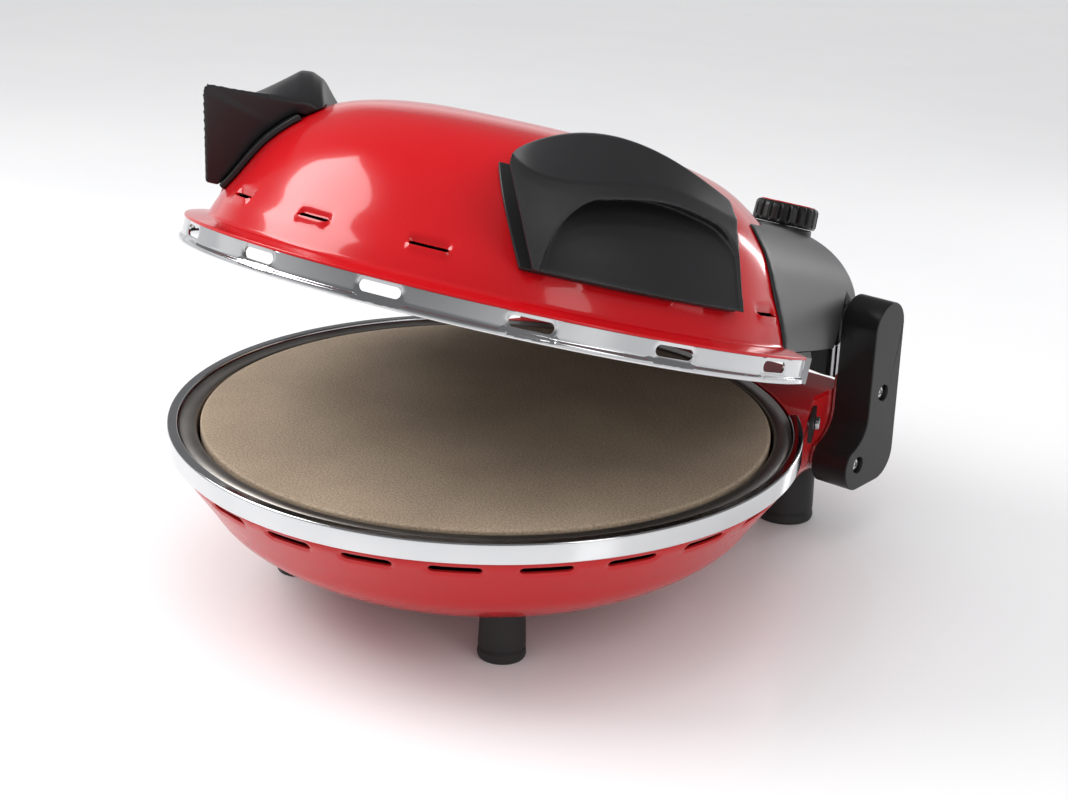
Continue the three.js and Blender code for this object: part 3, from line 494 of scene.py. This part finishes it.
def fired_stone():
    """Cordierite: warm grey-brown, with dark and pale grains, pores and a few baked-on stains."""
    mat, tree, shader, add = node_material("fired_stone", (0.2, 0.15, 0.11), 0.85)
    place = add("TexCoord").outputs["Object"]
    stain = add("TexNoise", Vector=place, Scale=14.0, Detail=6.0, Roughness=0.62).outputs["Fac"]
    grain = add("TexNoise", Vector=place, Scale=900.0, Detail=4.0, Roughness=0.7).outputs["Fac"]
    cells = add("TexVoronoi", Vector=place, Scale=1100.0).outputs["Distance"]
    body = mixed(add, stain, (0.2, 0.155, 0.115), (0.4, 0.32, 0.235))
    dots = add("ValToRGB", Fac=grain)
    dots.color_ramp.elements[0].position, dots.color_ramp.elements[1].position = 0.38, 0.62
    dots.color_ramp.elements[0].color = (0.62, 0.58, 0.54, 1)
    dots.color_ramp.elements[1].color = (1.25, 1.2, 1.14, 1)
    toned = add("MixRGB", {"blend_type": "MULTIPLY"}, i0=0.85, i1=body, i2=dots.outputs[0]).outputs[0]
    tree.links.new(toned, shader.inputs["Base Color"])
    tree.links.new(ranged(add, stain, 0.78, 0.95), shader.inputs["Roughness"])
    height = add("Math", {"operation": "ADD"}, i0=grain, i1=cells).outputs[0]
    bump(add, tree, shader, height, 0.5, 0.12)
    return mat


CHARCOAL_DARK, CHARCOAL_LIGHT = (0.011, 0.011, 0.012), (0.019, 0.019, 0.02)
MATERIALS = {
    "red_paint": red_enamel("red_enamel", (0.38, 0.002, 0.005), (0.47, 0.004, 0.007), 0.45),
    "bright_steel": polished_steel(),
    "screw_steel": satin_metal("zinc_screws", (0.5, 0.51, 0.53), (0.72, 0.73, 0.74), 0.26),
    "element_sheath": satin_metal("heater_sheath", (0.07, 0.06, 0.055), (0.16, 0.13, 0.11), 0.42),
    "dark_steel": satin_metal("tray_steel", (0.2, 0.18, 0.165), (0.33, 0.31, 0.29), 0.38),
    "black_plastic": moulded_plastic("black_plastic", (0.006,) * 3, (0.011,) * 3, 0.36, 0.03),
    "charcoal_plastic": moulded_plastic("charcoal_plastic", CHARCOAL_DARK, CHARCOAL_LIGHT, 0.38, 0.05),
    "black_rubber": speckled("black_rubber", (0.01, 0.01, 0.01), (0.02, 0.02, 0.02), 0.62, grain=700)[0],
    "baking_stone": fired_stone(),
    "ceramic": speckled("ceramic", (0.6, 0.56, 0.49), (0.74, 0.7, 0.62), 0.6, grain=800)[0],
    "lead_wire": speckled("glass_sleeve", (0.52, 0.49, 0.42), (0.7, 0.67, 0.6), 0.75, grain=1400)[0],
}
# the base faces the bright table at a shallow angle, where a full clear coat would turn it pink
BOWL_ENAMEL = red_enamel("bowl_enamel", (0.42, 0.01, 0.012), (0.51, 0.014, 0.016), 0.15)
SLOT_OF = {part["node"]: part["material_slot"] for part in frame["record"]["subparts"]}


def finished(obj, body, node):
    """The piece stands for a CAD node: it takes that node's finish, and rides on its body."""
    slot = SLOT_OF[node]
    obj.data.materials.clear()
    obj.data.materials.append(MATERIALS[slot])
    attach(obj, body)
    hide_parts(node)


def repaint(cad_object, slot):
    """A CAD node whose shape is right stays, with its slot's material and softer edges."""
    cad_object.data.materials.clear()
    cad_object.data.materials.append(MATERIALS[slot])
    weld = cad_object.modifiers.new("weld", "WELD")
    weld.merge_threshold = 0.001 * MM
    softened(cad_object, 0.3, 2, 35)


# ---------- base ----------
def base_shell():
    """The bowl: slots all round but the back, where the rear casing joins it."""
    slots = []
    for i in range(BOWL_SLOTS["count"]):
        deg = (BOWL_SLOTS["first"] + BOWL_SLOTS["pitch"] * i + 180) % 360 - 180
        if abs(deg) < BOWL_SLOTS["last"]:
            slots.append(BOWL_SLOTS | {"deg": deg})
    lower = [p for p in BOWL if p.y < BOWL_SPLIT]
    rim = [Vector((BOWL_KNOTS[-1][0], z)) for z in (91, 94.2)]
    upper = [p for p in BOWL if p.y >= BOWL_SPLIT] + rim
    columns = 180

    def drawn_in(x, y, distance):
        """The edge of each slot is pressed inwards."""
        return -0.9 * math.exp(-((distance / 1.3) ** 2))

    made = skin_between(lower + upper[:1], -180, 180, columns)
    made = added(*made, *pierced(upper, -180, 180, columns, slots, drawn_in))
    shell = new_object("base_shell_bowl", *made)
    creased(softened(thickened(shell, SHEET["bowl"]), 0.35, 2, 50))
    finished(shell, "base", "base_shell")
    shell.data.materials[0] = BOWL_ENAMEL


def casing_path(z):
    """Half of the rear casing's plan at a height, from the bowl's flank to the middle of the back."""
    rise = min(max((z - EXT_FLOOR) / CASING_ROUND, 0), 1)
    inset = CASING_ROUND * (1 - math.sqrt(1 - (1 - rise) ** 2))
    start = at_bearing(SWEEP_DEG, radius_at(BOWL, z) - 1.2, z)
    bend = Vector((EXT_HALF - inset, EXT_FRONT, z))
    corner = 12
    turns = arc(EXT_HALF - corner, EXT_REAR - corner, corner - min(inset, corner - 1), 0, 90, 10)
    back = Vector((0, EXT_REAR - inset, z))
    path = [start.lerp(bend, k / 14) for k in range(14)]
    path += [bend.lerp(Vector((turns[0].x, turns[0].y, z)), k / 3) for k in range(3)]
    path += [Vector((p.x, p.y, z)) for p in turns]
    return path + [Vector((turns[-1].x * (1 - k / 8), back.y, z)) for k in range(1, 9)]


def rear_casing():
    """The bowl's extension under the hinge: a tray of one skin, open towards the bowl."""
    bend = EXT_FLOOR + CASING_ROUND
    heights = [EXT_FLOOR + CASING_ROUND * (1 - cos(radians(a))) for a in range(0, 91, 9)]
    heights += [bend + (DECK_Z - 2.2 - bend) * k / 8 for k in range(1, 9)]
    rows = []
    for z in heights:
        half = casing_path(z)
        rows.append(half + [Vector((-p.x, p.y, p.z)) for p in reversed(half[:-1])])
    width = len(rows[0])
    vertices = [p for row in rows for p in row]
    faces = grid_faces(len(rows), width)
    middle = width // 2
    for j in range(middle):  # the floor, between the two flanks' lowest points
        strip = (j, j + 1, width - 2 - j, width - 1 - j)
        faces.append(strip if j + 1 < middle else (j, j + 1, width - 1 - j))
    casing = new_object("base_shell_rear_casing", vertices, faces)
    creased(thickened(casing, SHEET["bowl"]), 42)
    finished(casing, "base", "base_shell")
    casing.data.materials[0] = BOWL_ENAMEL


def rim_band():
    outline = [(174.6, 85.4), (176, 85.4), (176, 96.5), (170.6, 96.5), (170.3, 95.1)]
    rolled = skin_between(filleted(outline, 1.3, 6), -BAND_END_DEG, BAND_END_DEG, 200)
    band = new_object("base_rim_band_rolled", *rolled)
    creased(thickened(band, SHEET["band"]), 50)
    finished(band, "base", "base_rim_band")


def tray():
    outline = filleted([(0, 66), (138, 66), (145, 83.5), (159, 83.5), (160.2, 94.6), (169.9, 94.6)], 2.2, 6)
    pan = turned("inner_pan_pressed", outline)
    thickened(pan, SHEET["pan"])
    finished(pan, "base", "inner_pan")


def stone():
    top = STONE_BOTTOM + STONE_THICK
    rim = [(0, STONE_BOTTOM), (STONE_R, STONE_BOTTOM), (STONE_R, top), (0, top)]
    outline = filleted(rim, 1.8, 6)
    spaced = outline[:1] + [Vector((STONE_R * k / 12, STONE_BOTTOM)) for k in range(1, 12)]
    spaced += outline[1:-1] + [Vector((STONE_R * k / 24, top)) for k in range(23, 0, -1)] + outline[-1:]
    disc = turned("pizza_stone_fired", spaced)
    finished(disc, "base", "pizza_stone")


def bar_rows(points, radius, sides=14):
    """Rings of points round a smooth curve through the given points."""
    path = spline([tuple(p) for p in points], 8)
    rows = []
    across = Vector((0, 0, 1))
    for i, p in enumerate(path):
        along = (path[min(i + 1, len(path) - 1)] - path[max(i - 1, 0)]).normalized()
        side = along.cross(across).normalized()
        up = side.cross(along)
        turns = [2 * pi * k / sides for k in range(sides)]
        rows.append([p + radius * (side * cos(a) + up * sin(a)) for a in turns])
    return rows


def element(name, node, body, where, radius, z, leg_end):
    """A heating element: most of a circle, with two legs that run back side by side."""
    points = [Vector((14, leg_end, z)), Vector((14, radius + 22, z)), Vector((20, radius + 2, z))]
    points += [at_bearing(158 - 316 * k / 14, radius, z) for k in range(15)]
    points += [Vector((-20, radius + 2, z)), Vector((-14, radius + 22, z)), Vector((-14, leg_end, z))]
    ring = lofted(name, bar_rows(points, TUBE_R), where)
    finished(creased(ring), body, node)


def foot(name, node, size, top, side, conform):
    """A rubber foot: hollow underneath, with a rounded tread and a shallow groove round it."""
    low, high, recess = size["bottom"], size["top"], size["bottom"] * 0.5
    outline = filleted([(2.4, 9), (recess, 9), (recess, 0), (low - 0.6, 0), (low, 2), (low - 0.3, 5)], 0.9, 4)
    outline += [Vector((low - 1.0, 5.6)), Vector((low - 1.0, 6.6)), Vector((low - 0.35, 7.2))]
    outline += [Vector((high, top)), Vector((2.4, top))]
    obj = turned(name, outline, centre=(size["x"] * side, size["y"]), columns=56, loop=True)
    if conform:
        for v in obj.data.vertices:
            x, y, z = v.co.x / MM, (v.co.y - RING_Y) / MM, v.co.z / MM
            if z > top - 1:
                v.co.z = (height_at(BOWL, math.hypot(x, y)) + 0.2) * MM
    finished(softened(obj, 0.3, 2, 40), "base", node)


def feet():
    for word, side in SIDES.items():
        foot(f"front_foot_{word}_moulded", f"front_foot_{word}", FRONT_FOOT, 34, side, True)
        foot(f"rear_foot_{word}_moulded", f"rear_foot_{word}", REAR_FOOT, EXT_FLOOR - 0.1, side, False)


def block_outline(inset):
    """The tall rounded hinge block seen from the side, with a foot lobe reaching forwards."""
    y, top, neck = BLOCK["y"], BLOCK["top"], BLOCK["neck"]
    width = BLOCK["half"] - inset
    front = y - width
    points = [Vector((front, neck)), Vector((front, top))] + arc(y, top, width, 180, 0, 28)
    points += arc(y, 50, BLOCK["half"] + 1 - inset, 0, -90, 14)
    points += arc(BLOCK["lobe_y"], 48, BLOCK["half"] - 1 - inset, -90, -225, 20)
    start, pull, end = points[-1], Vector((front, 64 - inset)), Vector((front, neck))
    for k in range(1, 10):
        t = k / 10
        points.append(start * (1 - t) ** 2 + pull * 2 * t * (1 - t) + end * t * t)
    return points


def slab(name, outline, x0, x1):
    """A solid from an outline of (Y, Z), standing between two X planes."""
    count = len(outline)
    vertices = [Vector((x, p.x, p.y)) for x in (x0, x1) for p in outline]
    faces = grid_faces(2, count, wrap=True) + [tuple(range(count)), tuple(range(count, 2 * count))]
    return new_object(name, vertices, faces)


def rod(radius, x0, x1, y, z, columns=28):
    """A cutter along X."""
    return slab("cutter", arc(y, z, radius, 0, 360 - 360 / columns, columns - 1), x0, x1)


def screw(name, node, body, matrix, head, shank):
    """A pan-head screw along the matrix's +Z, its cross recess cut into the head at Z = 0 and above."""
    crest, root, pitch = 2, 1.6, 0.8
    outline = [Vector((0, 2.4))]
    outline += [Vector((head * sin(radians(a)), 1.1 + 1.3 * cos(radians(a)))) for a in range(15, 91, 15)]
    outline += [Vector((head, 0)), Vector((crest, 0))]
    for k in range(int(shank / pitch)):
        outline += [Vector((crest, -pitch * k - 0.2)), Vector((root, -pitch * k - 0.6))]
    outline += [Vector((0, -shank))]
    obj = turned_about(name, outline, matrix, 28)
    arm = head * 0.52
    blade = ((-arm, -0.5), (arm, -0.5), (arm, 0.5), (-arm, 0.5))
    box_faces = grid_faces(2, 4, wrap=True) + [(0, 1, 2, 3), (4, 5, 6, 7)]
    for turn in (0, 90):
        across = matrix @ Matrix.Rotation(radians(turn + 20), 4, "Z")
        corners = [across @ Vector((x, y, z)) for z in (1.2, 4) for x, y in blade]
        carve(obj, new_object("cutter", corners, box_faces, Matrix.Identity(4)))
    finished(creased(obj, 35), body, node)


def facing(x, y, z, side, where=BASE):
    """A matrix whose Z axis points outwards along X on the given side."""
    return where @ Matrix.Translation((x * side, y, z)) @ Matrix.Rotation(side * pi / 2, 4, "Y")


def hinge_side(word, side):
    """One side of the hinge: the moulded block, the steel plate behind it, their screws and the pin."""
    outer = BLOCK_INNER + BLOCK_THICK
    block = slab(f"hinge_block_{word}_moulded", block_outline(0), BLOCK_INNER, outer)
    for _, y, z in BLOCK_SCREWS:
        carve(block, rod(5, outer - 5, outer + 3, y, z))
        carve(block, rod(2.3, BLOCK_INNER - 3, outer, y, z))
    carve(block, rod(4.3, BLOCK_INNER - 3, 124.5, PIVOT.y, PIVOT.z))
    softened(block, 1.3, 4, 40)
    plate = slab(f"hinge_plate_{word}_pressed", block_outline(3), PLATE_INNER, PLATE_INNER + PLATE_THICK)
    softened(plate, 0.5, 2, 40)
    for obj in (block, plate):
        obj.data.transform(Matrix.Scale(side, 4, (1, 0, 0)))
        if side < 0:
            obj.data.flip_normals()
    finished(block, "base", f"hinge_block_{word}")
    finished(plate, "base", f"hinge_plate_{word}")
    for level, y, z in BLOCK_SCREWS:
        name = f"hinge_block_{level}_screw_{word}"
        screw(name + "_cross_head", name, "base", facing(outer - 3.9, y, z, side), 4.2, 17)
    shaft = [(0, 124), (3.2, 124), (4, 123.2), (4, 104.2)]
    button = [(6.1, 104.2), (6.5, 103.6), (6.3, 102.2), (5.4, 101.7), (0, 101.6)]
    obj = turned_about(f"hinge_pin_{word}_turned", shaft + button, facing(0, PIVOT.y, PIVOT.z, side), 32)
    finished(creased(obj, 30), "base", f"hinge_pin_{word}")


# ---------- lid ----------
def dome():
    skin = [Vector((p.x, p.y + LID_Z)) for p in DOME]
    crown = [p for p in skin if p.y > DOME_SPLIT]
    wall = [p for p in skin if p.y <= DOME_SPLIT]
    columns = 240
    last, pitch, half = LOUVRES["last"], LOUVRES["pitch"], LOUVRES["length"] / 2
    louvres = [LOUVRES | {"deg": deg} for deg in range(-last, last + 1, pitch)]

    def hooded(x, y, distance):
        """The skin over each louvre is pressed out in a low hood, and the lip below it is drawn in."""
        fade = math.exp(-((distance / 2.6) ** 2)) * smoothstep((half + 2 - abs(x)) / 4)
        return LOUVRES["hood" if y < 0 else "lip"] * fade * smoothstep((abs(y) + 0.6) / 1.8)

    made = skin_between(crown + wall[:1], -180, 180, columns)
    made = added(*made, *pierced(wall, -180, 180, columns, louvres, hooded))
    flare = filleted([(164, 18), (165.2, 16.4), (176.5, 14.3), (176.5, 12.9)], 2.0, 5)
    raised = [Vector((p.x, p.y + LID_Z)) for p in flare]
    made = added(*made, *skin_between(raised, -STRAP_DEG, STRAP_DEG, round(columns * STRAP_DEG / 180)))
    shell = new_object("lid_shell_dome", *made, LID)
    creased(thickened(shell, SHEET["dome"]), 50)
    finished(shell, "lid", "lid_shell")


def lid_ring():
    section = [(175.9, 12.7), (175.9, 3.6), (177.2, 2.7), (177.2, 0.1), (173.9, 0.1), (173.5, 2.4)]
    outline = filleted(section, 1.0, 5)
    skin = [Vector((p.x, p.y + LID_Z)) for p in outline]
    straight = [skin[0].lerp(skin[1], k / 6) for k in range(6)]
    bearings = [RING_SLOTS["first"] + RING_SLOTS["pitch"] * i for i in range(RING_SLOTS["count"])]
    slots = [RING_SLOTS | {"deg": deg} for deg in bearings]

    def lipped(x, y, distance):
        """The edge of each slot stands out a little."""
        return 0.35 * math.exp(-(distance**2))

    rolled = pierced(straight + skin[1:], -STRAP_DEG, STRAP_DEG, 150, slots, lipped)
    ring = new_object("lid_ring_rolled", *rolled, LID)
    creased(softened(thickened(ring, SHEET["lid_ring"]), 0.25, 2, 60), 50)
    finished(ring, "lid", "lid_ring")


def reflector():
    outline = filleted([(0, 56), (118, 54), (138, 44), (148, 28), (155, 11), (167.2, 11)], 6, 8)
    sheet = turned("upper_reflector_pressed", [(p.x, p.y + LID_Z) for p in outline], LID)
    thickened(sheet, -SHEET["reflector"])
    finished(sheet, "lid", "upper_reflector")


def housing_solid(name, inset):
    """A cushion whose top rolls over at the sides and back, its front ends lying along the dome."""
    size = HOUSING
    low = size["bottom"] - 14  # housing() cuts it off at the bottom height
    work = bmesh.new()

    def both(x, y, z):
        for side in (1, -1):
            work.verts.new(LID @ Vector((x * side, y, z)))

    for up in range(0, 91, 6):
        rise = radians(up)
        drawn_in = size["corner"] + (size["roll"] - size["corner"]) * (1 - cos(rise))
        radius = (size["corner"] - inset) * cos(rise)
        z = size["top"] - size["roll"] + (size["roll"] - inset) * sin(rise)
        for turn in range(0, 91, 6):
            x = size["half"] - drawn_in + radius * cos(radians(turn))
            y = size["rear"] - drawn_in + radius * sin(radians(turn))
            both(x, y, z)
            if up == 0:
                both(x, y, low)
        rel = 19 + (size["top"] - inset - LID_Z - 19) * up / 90
        both(*at_bearing(HOUSING_FRONT, radius_at(DOME, rel) + size["wall"] - inset, LID_Z + rel))
    both(*at_bearing(HOUSING_FRONT, 170 - inset, low))
    bmesh.ops.convex_hull(work, input=work.verts)
    for v in [v for v in work.verts if not v.link_faces]:
        work.verts.remove(v)
    bmesh.ops.recalc_face_normals(work, faces=work.faces)
    mesh = bpy.data.meshes.new(name)
    work.to_mesh(mesh)
    work.free()
    obj = bpy.data.objects.new(name, mesh)
    bpy.context.scene.collection.objects.link(obj)
    return moulded(obj, 2.0, 14)


def hinge_recess(inset, side):
    """The round space that turns past the hinge block."""
    radius, deep = RECESS["radius"] + inset, RECESS["deep"]
    outline = [(0, 0), (radius, 0), (radius, deep), (0, deep)]
    return turned_about("cutter", outline, facing(RECESS["inner"] - inset, PIVOT.y, PIVOT.z, side, LID), 96)


def dome_cutter(grow, top_grow=None, split=None):
    """Everything inside the dome's outer face, grown by a distance; above split it grows by top_grow."""
    skin = offset(DOME, -grow)
    if split is not None:
        high = [p for p in offset(DOME, -top_grow) if p.y > split]
        low = [p for p in skin if p.y <= split]
        skin = high + [Vector((high[-1].x, split)), Vector((low[0].x, split))] + low
    skin = [Vector((0, skin[0].y))] + skin[1:] + [Vector((skin[-1].x, -20)), Vector((0, -20))]
    return turned("cutter", [(p.x, p.y + LID_Z) for p in skin], LID, columns=160)


def housing():
    """The housing: hollow, open below, with a collar under the knob and a hole for its shaft."""
    shell = housing_solid("rear_housing_moulded", 0)
    hollow = housing_solid("cutter", HOUSING["wall"])
    for side in (1, -1):
        carve(shell, hinge_recess(0, side))
        carve(hollow, hinge_recess(HOUSING["wall"], side))
    carve(shell, hollow)
    below = [(0, 60), (260, 60), (260, HOUSING["bottom"]), (0, HOUSING["bottom"])]
    carve(shell, turned("cutter", below, LID, columns=48))
    rise = KNOB["bottom"] - 0.3
    collar = [(0, 158), (18.8, 158), (18.3, 166), (17.5, rise - 0.5), (17, rise), (0, rise)]
    carve(shell, turned("cutter", collar, LID, (KNOB["x"], KNOB["y"]), 96), "UNION")
    under = HOUSING["top"] - HOUSING["wall"]
    well = [(0, 150), (15, 150), (15, under), (6, under), (6, 200), (0, 200)]
    carve(shell, turned("cutter", well, LID, (KNOB["x"], KNOB["y"]), 48))
    carve(shell, dome_cutter(0.6))
    softened(shell, 0.9, 3, 40)
    finished(shell, "lid", "rear_housing")


def knob():
    """A fluted grip with a dished top, and an enamelled ring let into it."""
    at = Vector((KNOB["x"], KNOB["y"], 0))
    bottom, top, full = KNOB["bottom"], KNOB["bottom"] + KNOB["height"], KNOB["r"]
    steps = KNOB["flutes"] * 12

    def ring(radius, z, flute):
        """A loop of points at a height, drawn in by flute at the bottom of each flute."""
        row = []
        for k in range(steps):
            turn = 2 * pi * k / steps
            r = radius - flute * max(0, cos(turn * KNOB["flutes"])) ** 2
            row.append(at + Vector((r * cos(turn), r * sin(turn), z)))
        return row

    under = [(5, bottom + 0.4, 0), (full - 1.1, bottom, 0), (full - 0.6, bottom + 0.5, 0)]
    side = [(full - 0.3, bottom + 1.2, 0.1), (full, bottom + 1.8, 0.6), (full, bottom + 2.6, 1.5)]
    side += [(full - 0.03 * k, bottom + 2.6 + k, 1.6) for k in range(1, 8)]
    shoulder = [(full - 0.5, top - 1.6, 1.3), (full - 1.2, top - 0.7, 0.8)]
    shoulder += [(full - 2.2, top - 0.15, 0.2), (full - 2.8, top, 0)]
    groove = [(16.8, top, 0), (16.8, top - 1.4, 0), (11.2, top - 1.4, 0), (11.2, top, 0)]
    dish = [(10.4, top, 0), (9.6, top - 0.5, 0), (3, top - 0.9, 0)]
    rows = [ring(*step) for step in under + side + shoulder + groove + dish]
    grip = lofted("knob_fluted", rows, LID)
    finished(creased(grip, 38), "knob_body", "knob")
    section = [(11.5, top - 1.1), (16.5, top - 1.1), (16.5, top + 0.5), (11.5, top + 0.5)]
    outline = filleted(section, 0.5, 4, closed=True)
    band = turned("knob_ring_enamelled", outline, LID, (at.x, at.y), 96, loop=True)
    finished(creased(band, 50), "knob_body", "knob_ring")


# ---------- handles ----------
def hood_edge(t):
    """The hood's outer edge, as (bearing, radius, rel): t runs from the front end to the rear end."""
    tip = math.exp(-t / 0.06)
    swell = sin(pi * (t - 0.08)) ** 2
    return 35 + 50 * t, 148 + 28.5 * (1 - t) ** 2 + 5.5 * tip, 75 + 8 * swell + 8.5 * tip


def hood_foot(t):
    """The hood's lower edge against the dome."""
    return 42 + 41.5 * t, 169 - 2 * t, HANDLE["foot"]


def hood_crest(t):
    """The highest line of the hood's roof."""
    return 34 + 50 * t, 126 + 10 * t * t, 84.5 + 17.5 * sin(pi * t**0.8)


def hood_row(t):
    """A section of the solid hood: from the dome out under the lip, and back over the roof."""
    edge, low, crest = hood_edge(t), hood_foot(t), hood_crest(t)
    return [
        at_bearing(low[0], 112, LID_Z + low[2]),
        at_bearing(low[0], low[1], LID_Z + low[2]),
        at_bearing(edge[0], edge[1], LID_Z + edge[2] - 5),
        at_bearing(edge[0], edge[1] - 1.5, LID_Z + edge[2]),
        at_bearing(crest[0], crest[1] + 5, LID_Z + crest[2] - 0.5),
        at_bearing(crest[0], crest[1] - 1, LID_Z + crest[2]),
        at_bearing(crest[0], crest[1] - 8, LID_Z + crest[2] - 3),
        at_bearing(crest[0], crest[1] - 15, LID_Z + 78),
    ]


def grip_row(t):
    """The space for the fingers: open outwards and downwards, arched at the top."""
    rising = max(0, (ARCH["crown_from"] - t) / (ARCH["crown_from"] - ARCH["front"]))
    falling = max(0, (t - ARCH["crown_to"]) / ARCH["reach"])
    arch = (1 - rising**2) * math.sqrt(1 - falling**2)
    low = HANDLE["foot"]
    high = low + 1 + arch * (hood_edge(t)[2] - HANDLE["lip"] - low - 1)

    def deg(rel):
        return hood_foot(t)[0] + (hood_edge(t)[0] - hood_foot(t)[0]) * (rel - low) / 50

    row = []
    for i in range(9):
        rel = low - 6 + (high - low + 6) * i / 8
        radius = radius_at(DOME, rel) + HANDLE["plate"] + HANDLE["wall"] + 0.7
        row.append(at_bearing(deg(rel), radius, LID_Z + rel))
    return row + [at_bearing(deg(rel), 220, LID_Z + rel) for rel in (high, low - 6)]


def handle_plate(word):
    """The curved mounting plate against the dome; its front edge leans forwards at the top."""
    columns, levels = 64, 24
    low, high = HANDLE["foot"], HANDLE["plate_top"]
    skin = offset(DOME, -HANDLE["plate"] - 0.5)
    vertices = []
    for i in range(levels + 1):
        rel = low + (high - low) * i / levels
        front = 40 - 0.187 * (rel - low)
        for j in range(columns + 1):
            deg = front + (83.5 - front) * j / columns
            vertices.append(at_bearing(deg, radius_at(skin, rel), LID_Z + rel))
    plate = new_object(f"handle_plate_{word}_curved", vertices, grid_faces(levels + 1, columns + 1), LID)
    return softened(thickened(plate, HANDLE["plate"]), 0.8, 3, 50)


def handle(word, side):
    """A hollow hood over its mounting plate; the left one is the right one mirrored."""
    hood = lofted(f"handle_{word}_hood", [hood_row((k / 60) ** 1.3) for k in range(61)], LID)
    reach = ARCH["rear"] - ARCH["front"]
    space = lofted("cutter", [grip_row(ARCH["front"] + reach * (k / 72) ** 1.2) for k in range(73)], LID)
    carve(hood, space)
    carve(hood, dome_cutter(HANDLE["plate"] + 0.8, 0.5, HANDLE["plate_top"] + 0.3))
    moulded(hood, 0.8, 14)
    plate = handle_plate(word)
    for obj in (hood, plate):
        if side < 0:
            obj.data.transform(Matrix.Scale(-1, 4, (1, 0, 0)))
            obj.data.flip_normals()
    finished(hood, "lid", f"handle_{word}")
    finished(plate, "lid", f"handle_plate_{word}")


# ---------- the making ----------
def camera():
    """At the viewing angle of the picture to match: from the front right, a little above."""
    azimuth, elevation, roll, distance = radians(39), radians(20.55), radians(2.05), 1.067
    target = Vector((33.6 * MM, RING_Y, 112.1 * MM))
    away = Vector((sin(azimuth) * cos(elevation), -cos(azimuth) * cos(elevation), sin(elevation)))
    right = Vector((cos(azimuth), sin(azimuth), 0))
    up = away.cross(right)
    turned_right = right * cos(roll) + up * sin(roll)
    turned_up = up * cos(roll) - right * sin(roll)
    data = bpy.data.cameras.new("camera")
    data.lens, data.sensor_width, data.clip_start = 65.9, 36, 0.05
    obj = bpy.data.objects.new("camera", data)
    bpy.context.scene.collection.objects.link(obj)
    matrix = Matrix((turned_right, turned_up, away)).transposed().to_4x4()
    matrix.translation = target + away * distance
    obj.matrix_world = matrix
    bpy.context.scene.camera = obj


def softbox(name, direction, size, power, seen_in_gloss=True):
    """A rectangular light 1.3 m from the oven, aimed at it, in a direction of (bearing, elevation)."""
    bearing, elevation = map(radians, direction)
    away = Vector((sin(bearing) * cos(elevation), -cos(bearing) * cos(elevation), sin(elevation)))
    data = bpy.data.lights.new(name, "AREA")
    data.shape, data.size, data.size_y, data.energy = "RECTANGLE", size[0], size[1], power
    obj = bpy.data.objects.new(name, data)
    obj.location = away * 1.3 + Vector((0, -0.1, 0.14))
    obj.rotation_euler = (-away).to_track_quat("-Z", "Y").to_euler()
    obj.visible_glossy = seen_in_gloss
    bpy.context.scene.collection.objects.link(obj)


def studio():
    """A pale room and four softboxes; gloss and steel see the room bright low down, dim overhead."""
    world = bpy.data.worlds.new("studio")
    world.use_nodes = True
    tree = world.node_tree
    tree.nodes["Background"].inputs["Strength"].default_value = 1.0
    height = tree.nodes.new("ShaderNodeSeparateXYZ")
    tree.links.new(tree.nodes.new("ShaderNodeTexCoord").outputs["Generated"], height.inputs[0])
    ramp = tree.nodes.new("ShaderNodeValToRGB")
    ramp.color_ramp.elements[0].position, ramp.color_ramp.elements[1].position = 0.03, 0.24
    ramp.color_ramp.elements[0].color = (0.95, 0.95, 0.96, 1)
    ramp.color_ramp.elements[1].color = (0.19, 0.19, 0.195, 1)
    tree.links.new(height.outputs[2], ramp.inputs[0])
    rays = tree.nodes.new("ShaderNodeLightPath")
    room = tree.nodes.new("ShaderNodeMixRGB")
    room.inputs[1].default_value = (1.06, 1.06, 1.07, 1)
    tree.links.new(ramp.outputs[0], room.inputs[2])
    tree.links.new(rays.outputs["Is Glossy Ray"], room.inputs[0])
    backdrop = tree.nodes.new("ShaderNodeMixRGB")
    backdrop.inputs[2].default_value = (0.8, 0.8, 0.81, 1)
    tree.links.new(room.outputs[0], backdrop.inputs[1])
    tree.links.new(rays.outputs["Is Camera Ray"], backdrop.inputs[0])
    tree.links.new(backdrop.outputs[0], tree.nodes["Background"].inputs["Color"])
    bpy.context.scene.world = world
    bpy.context.scene.view_settings.view_transform = "Standard"
    softbox("key", (-62, 42), (0.85, 0.65), 15)
    softbox("overhead", (30, 80), (1.2, 1.0), 4, seen_in_gloss=False)
    softbox("right", (80, 28), (0.3, 0.9), 2.5)
    softbox("rear_strip", (171, 8), (0.12, 0.3), 1.2)


def floor():
    dark, light = (0.74, 0.74, 0.75), (0.77, 0.77, 0.77)
    mat = speckled("pale_floor", dark, light, 0.22, grain=60, blotch=3, grain_depth=0.0)[0]
    mesh = bpy.data.meshes.new("floor")
    reach = 15  # metres
    corners = [(-reach, -reach, 0), (reach, -reach, 0), (reach, reach, 0), (-reach, reach, 0)]
    mesh.from_pydata(corners, [], [(0, 1, 2, 3)])
    mesh.materials.append(mat)
    obj = bpy.data.objects.new("floor", mesh)
    bpy.context.scene.collection.objects.link(obj)


camera()
studio()
floor()

base_shell()
rear_casing()
rim_band()
tray()
stone()
feet()
element("lower_heating_element_tube", "lower_heating_element", "base", BASE, 104, 74, 176)
for word, side in SIDES.items():
    hinge_side(word, side)

dome()
lid_ring()
reflector()
element("upper_heating_element_tube", "upper_heating_element", "lid", LID, 100, LID_Z + 38, 172)
housing()
knob()
for word, side in SIDES.items():
    handle(word, side)

for node, obj in frame["nodes"].items():
    if not obj.hide_render:
        repaint(obj, SLOT_OF[node])
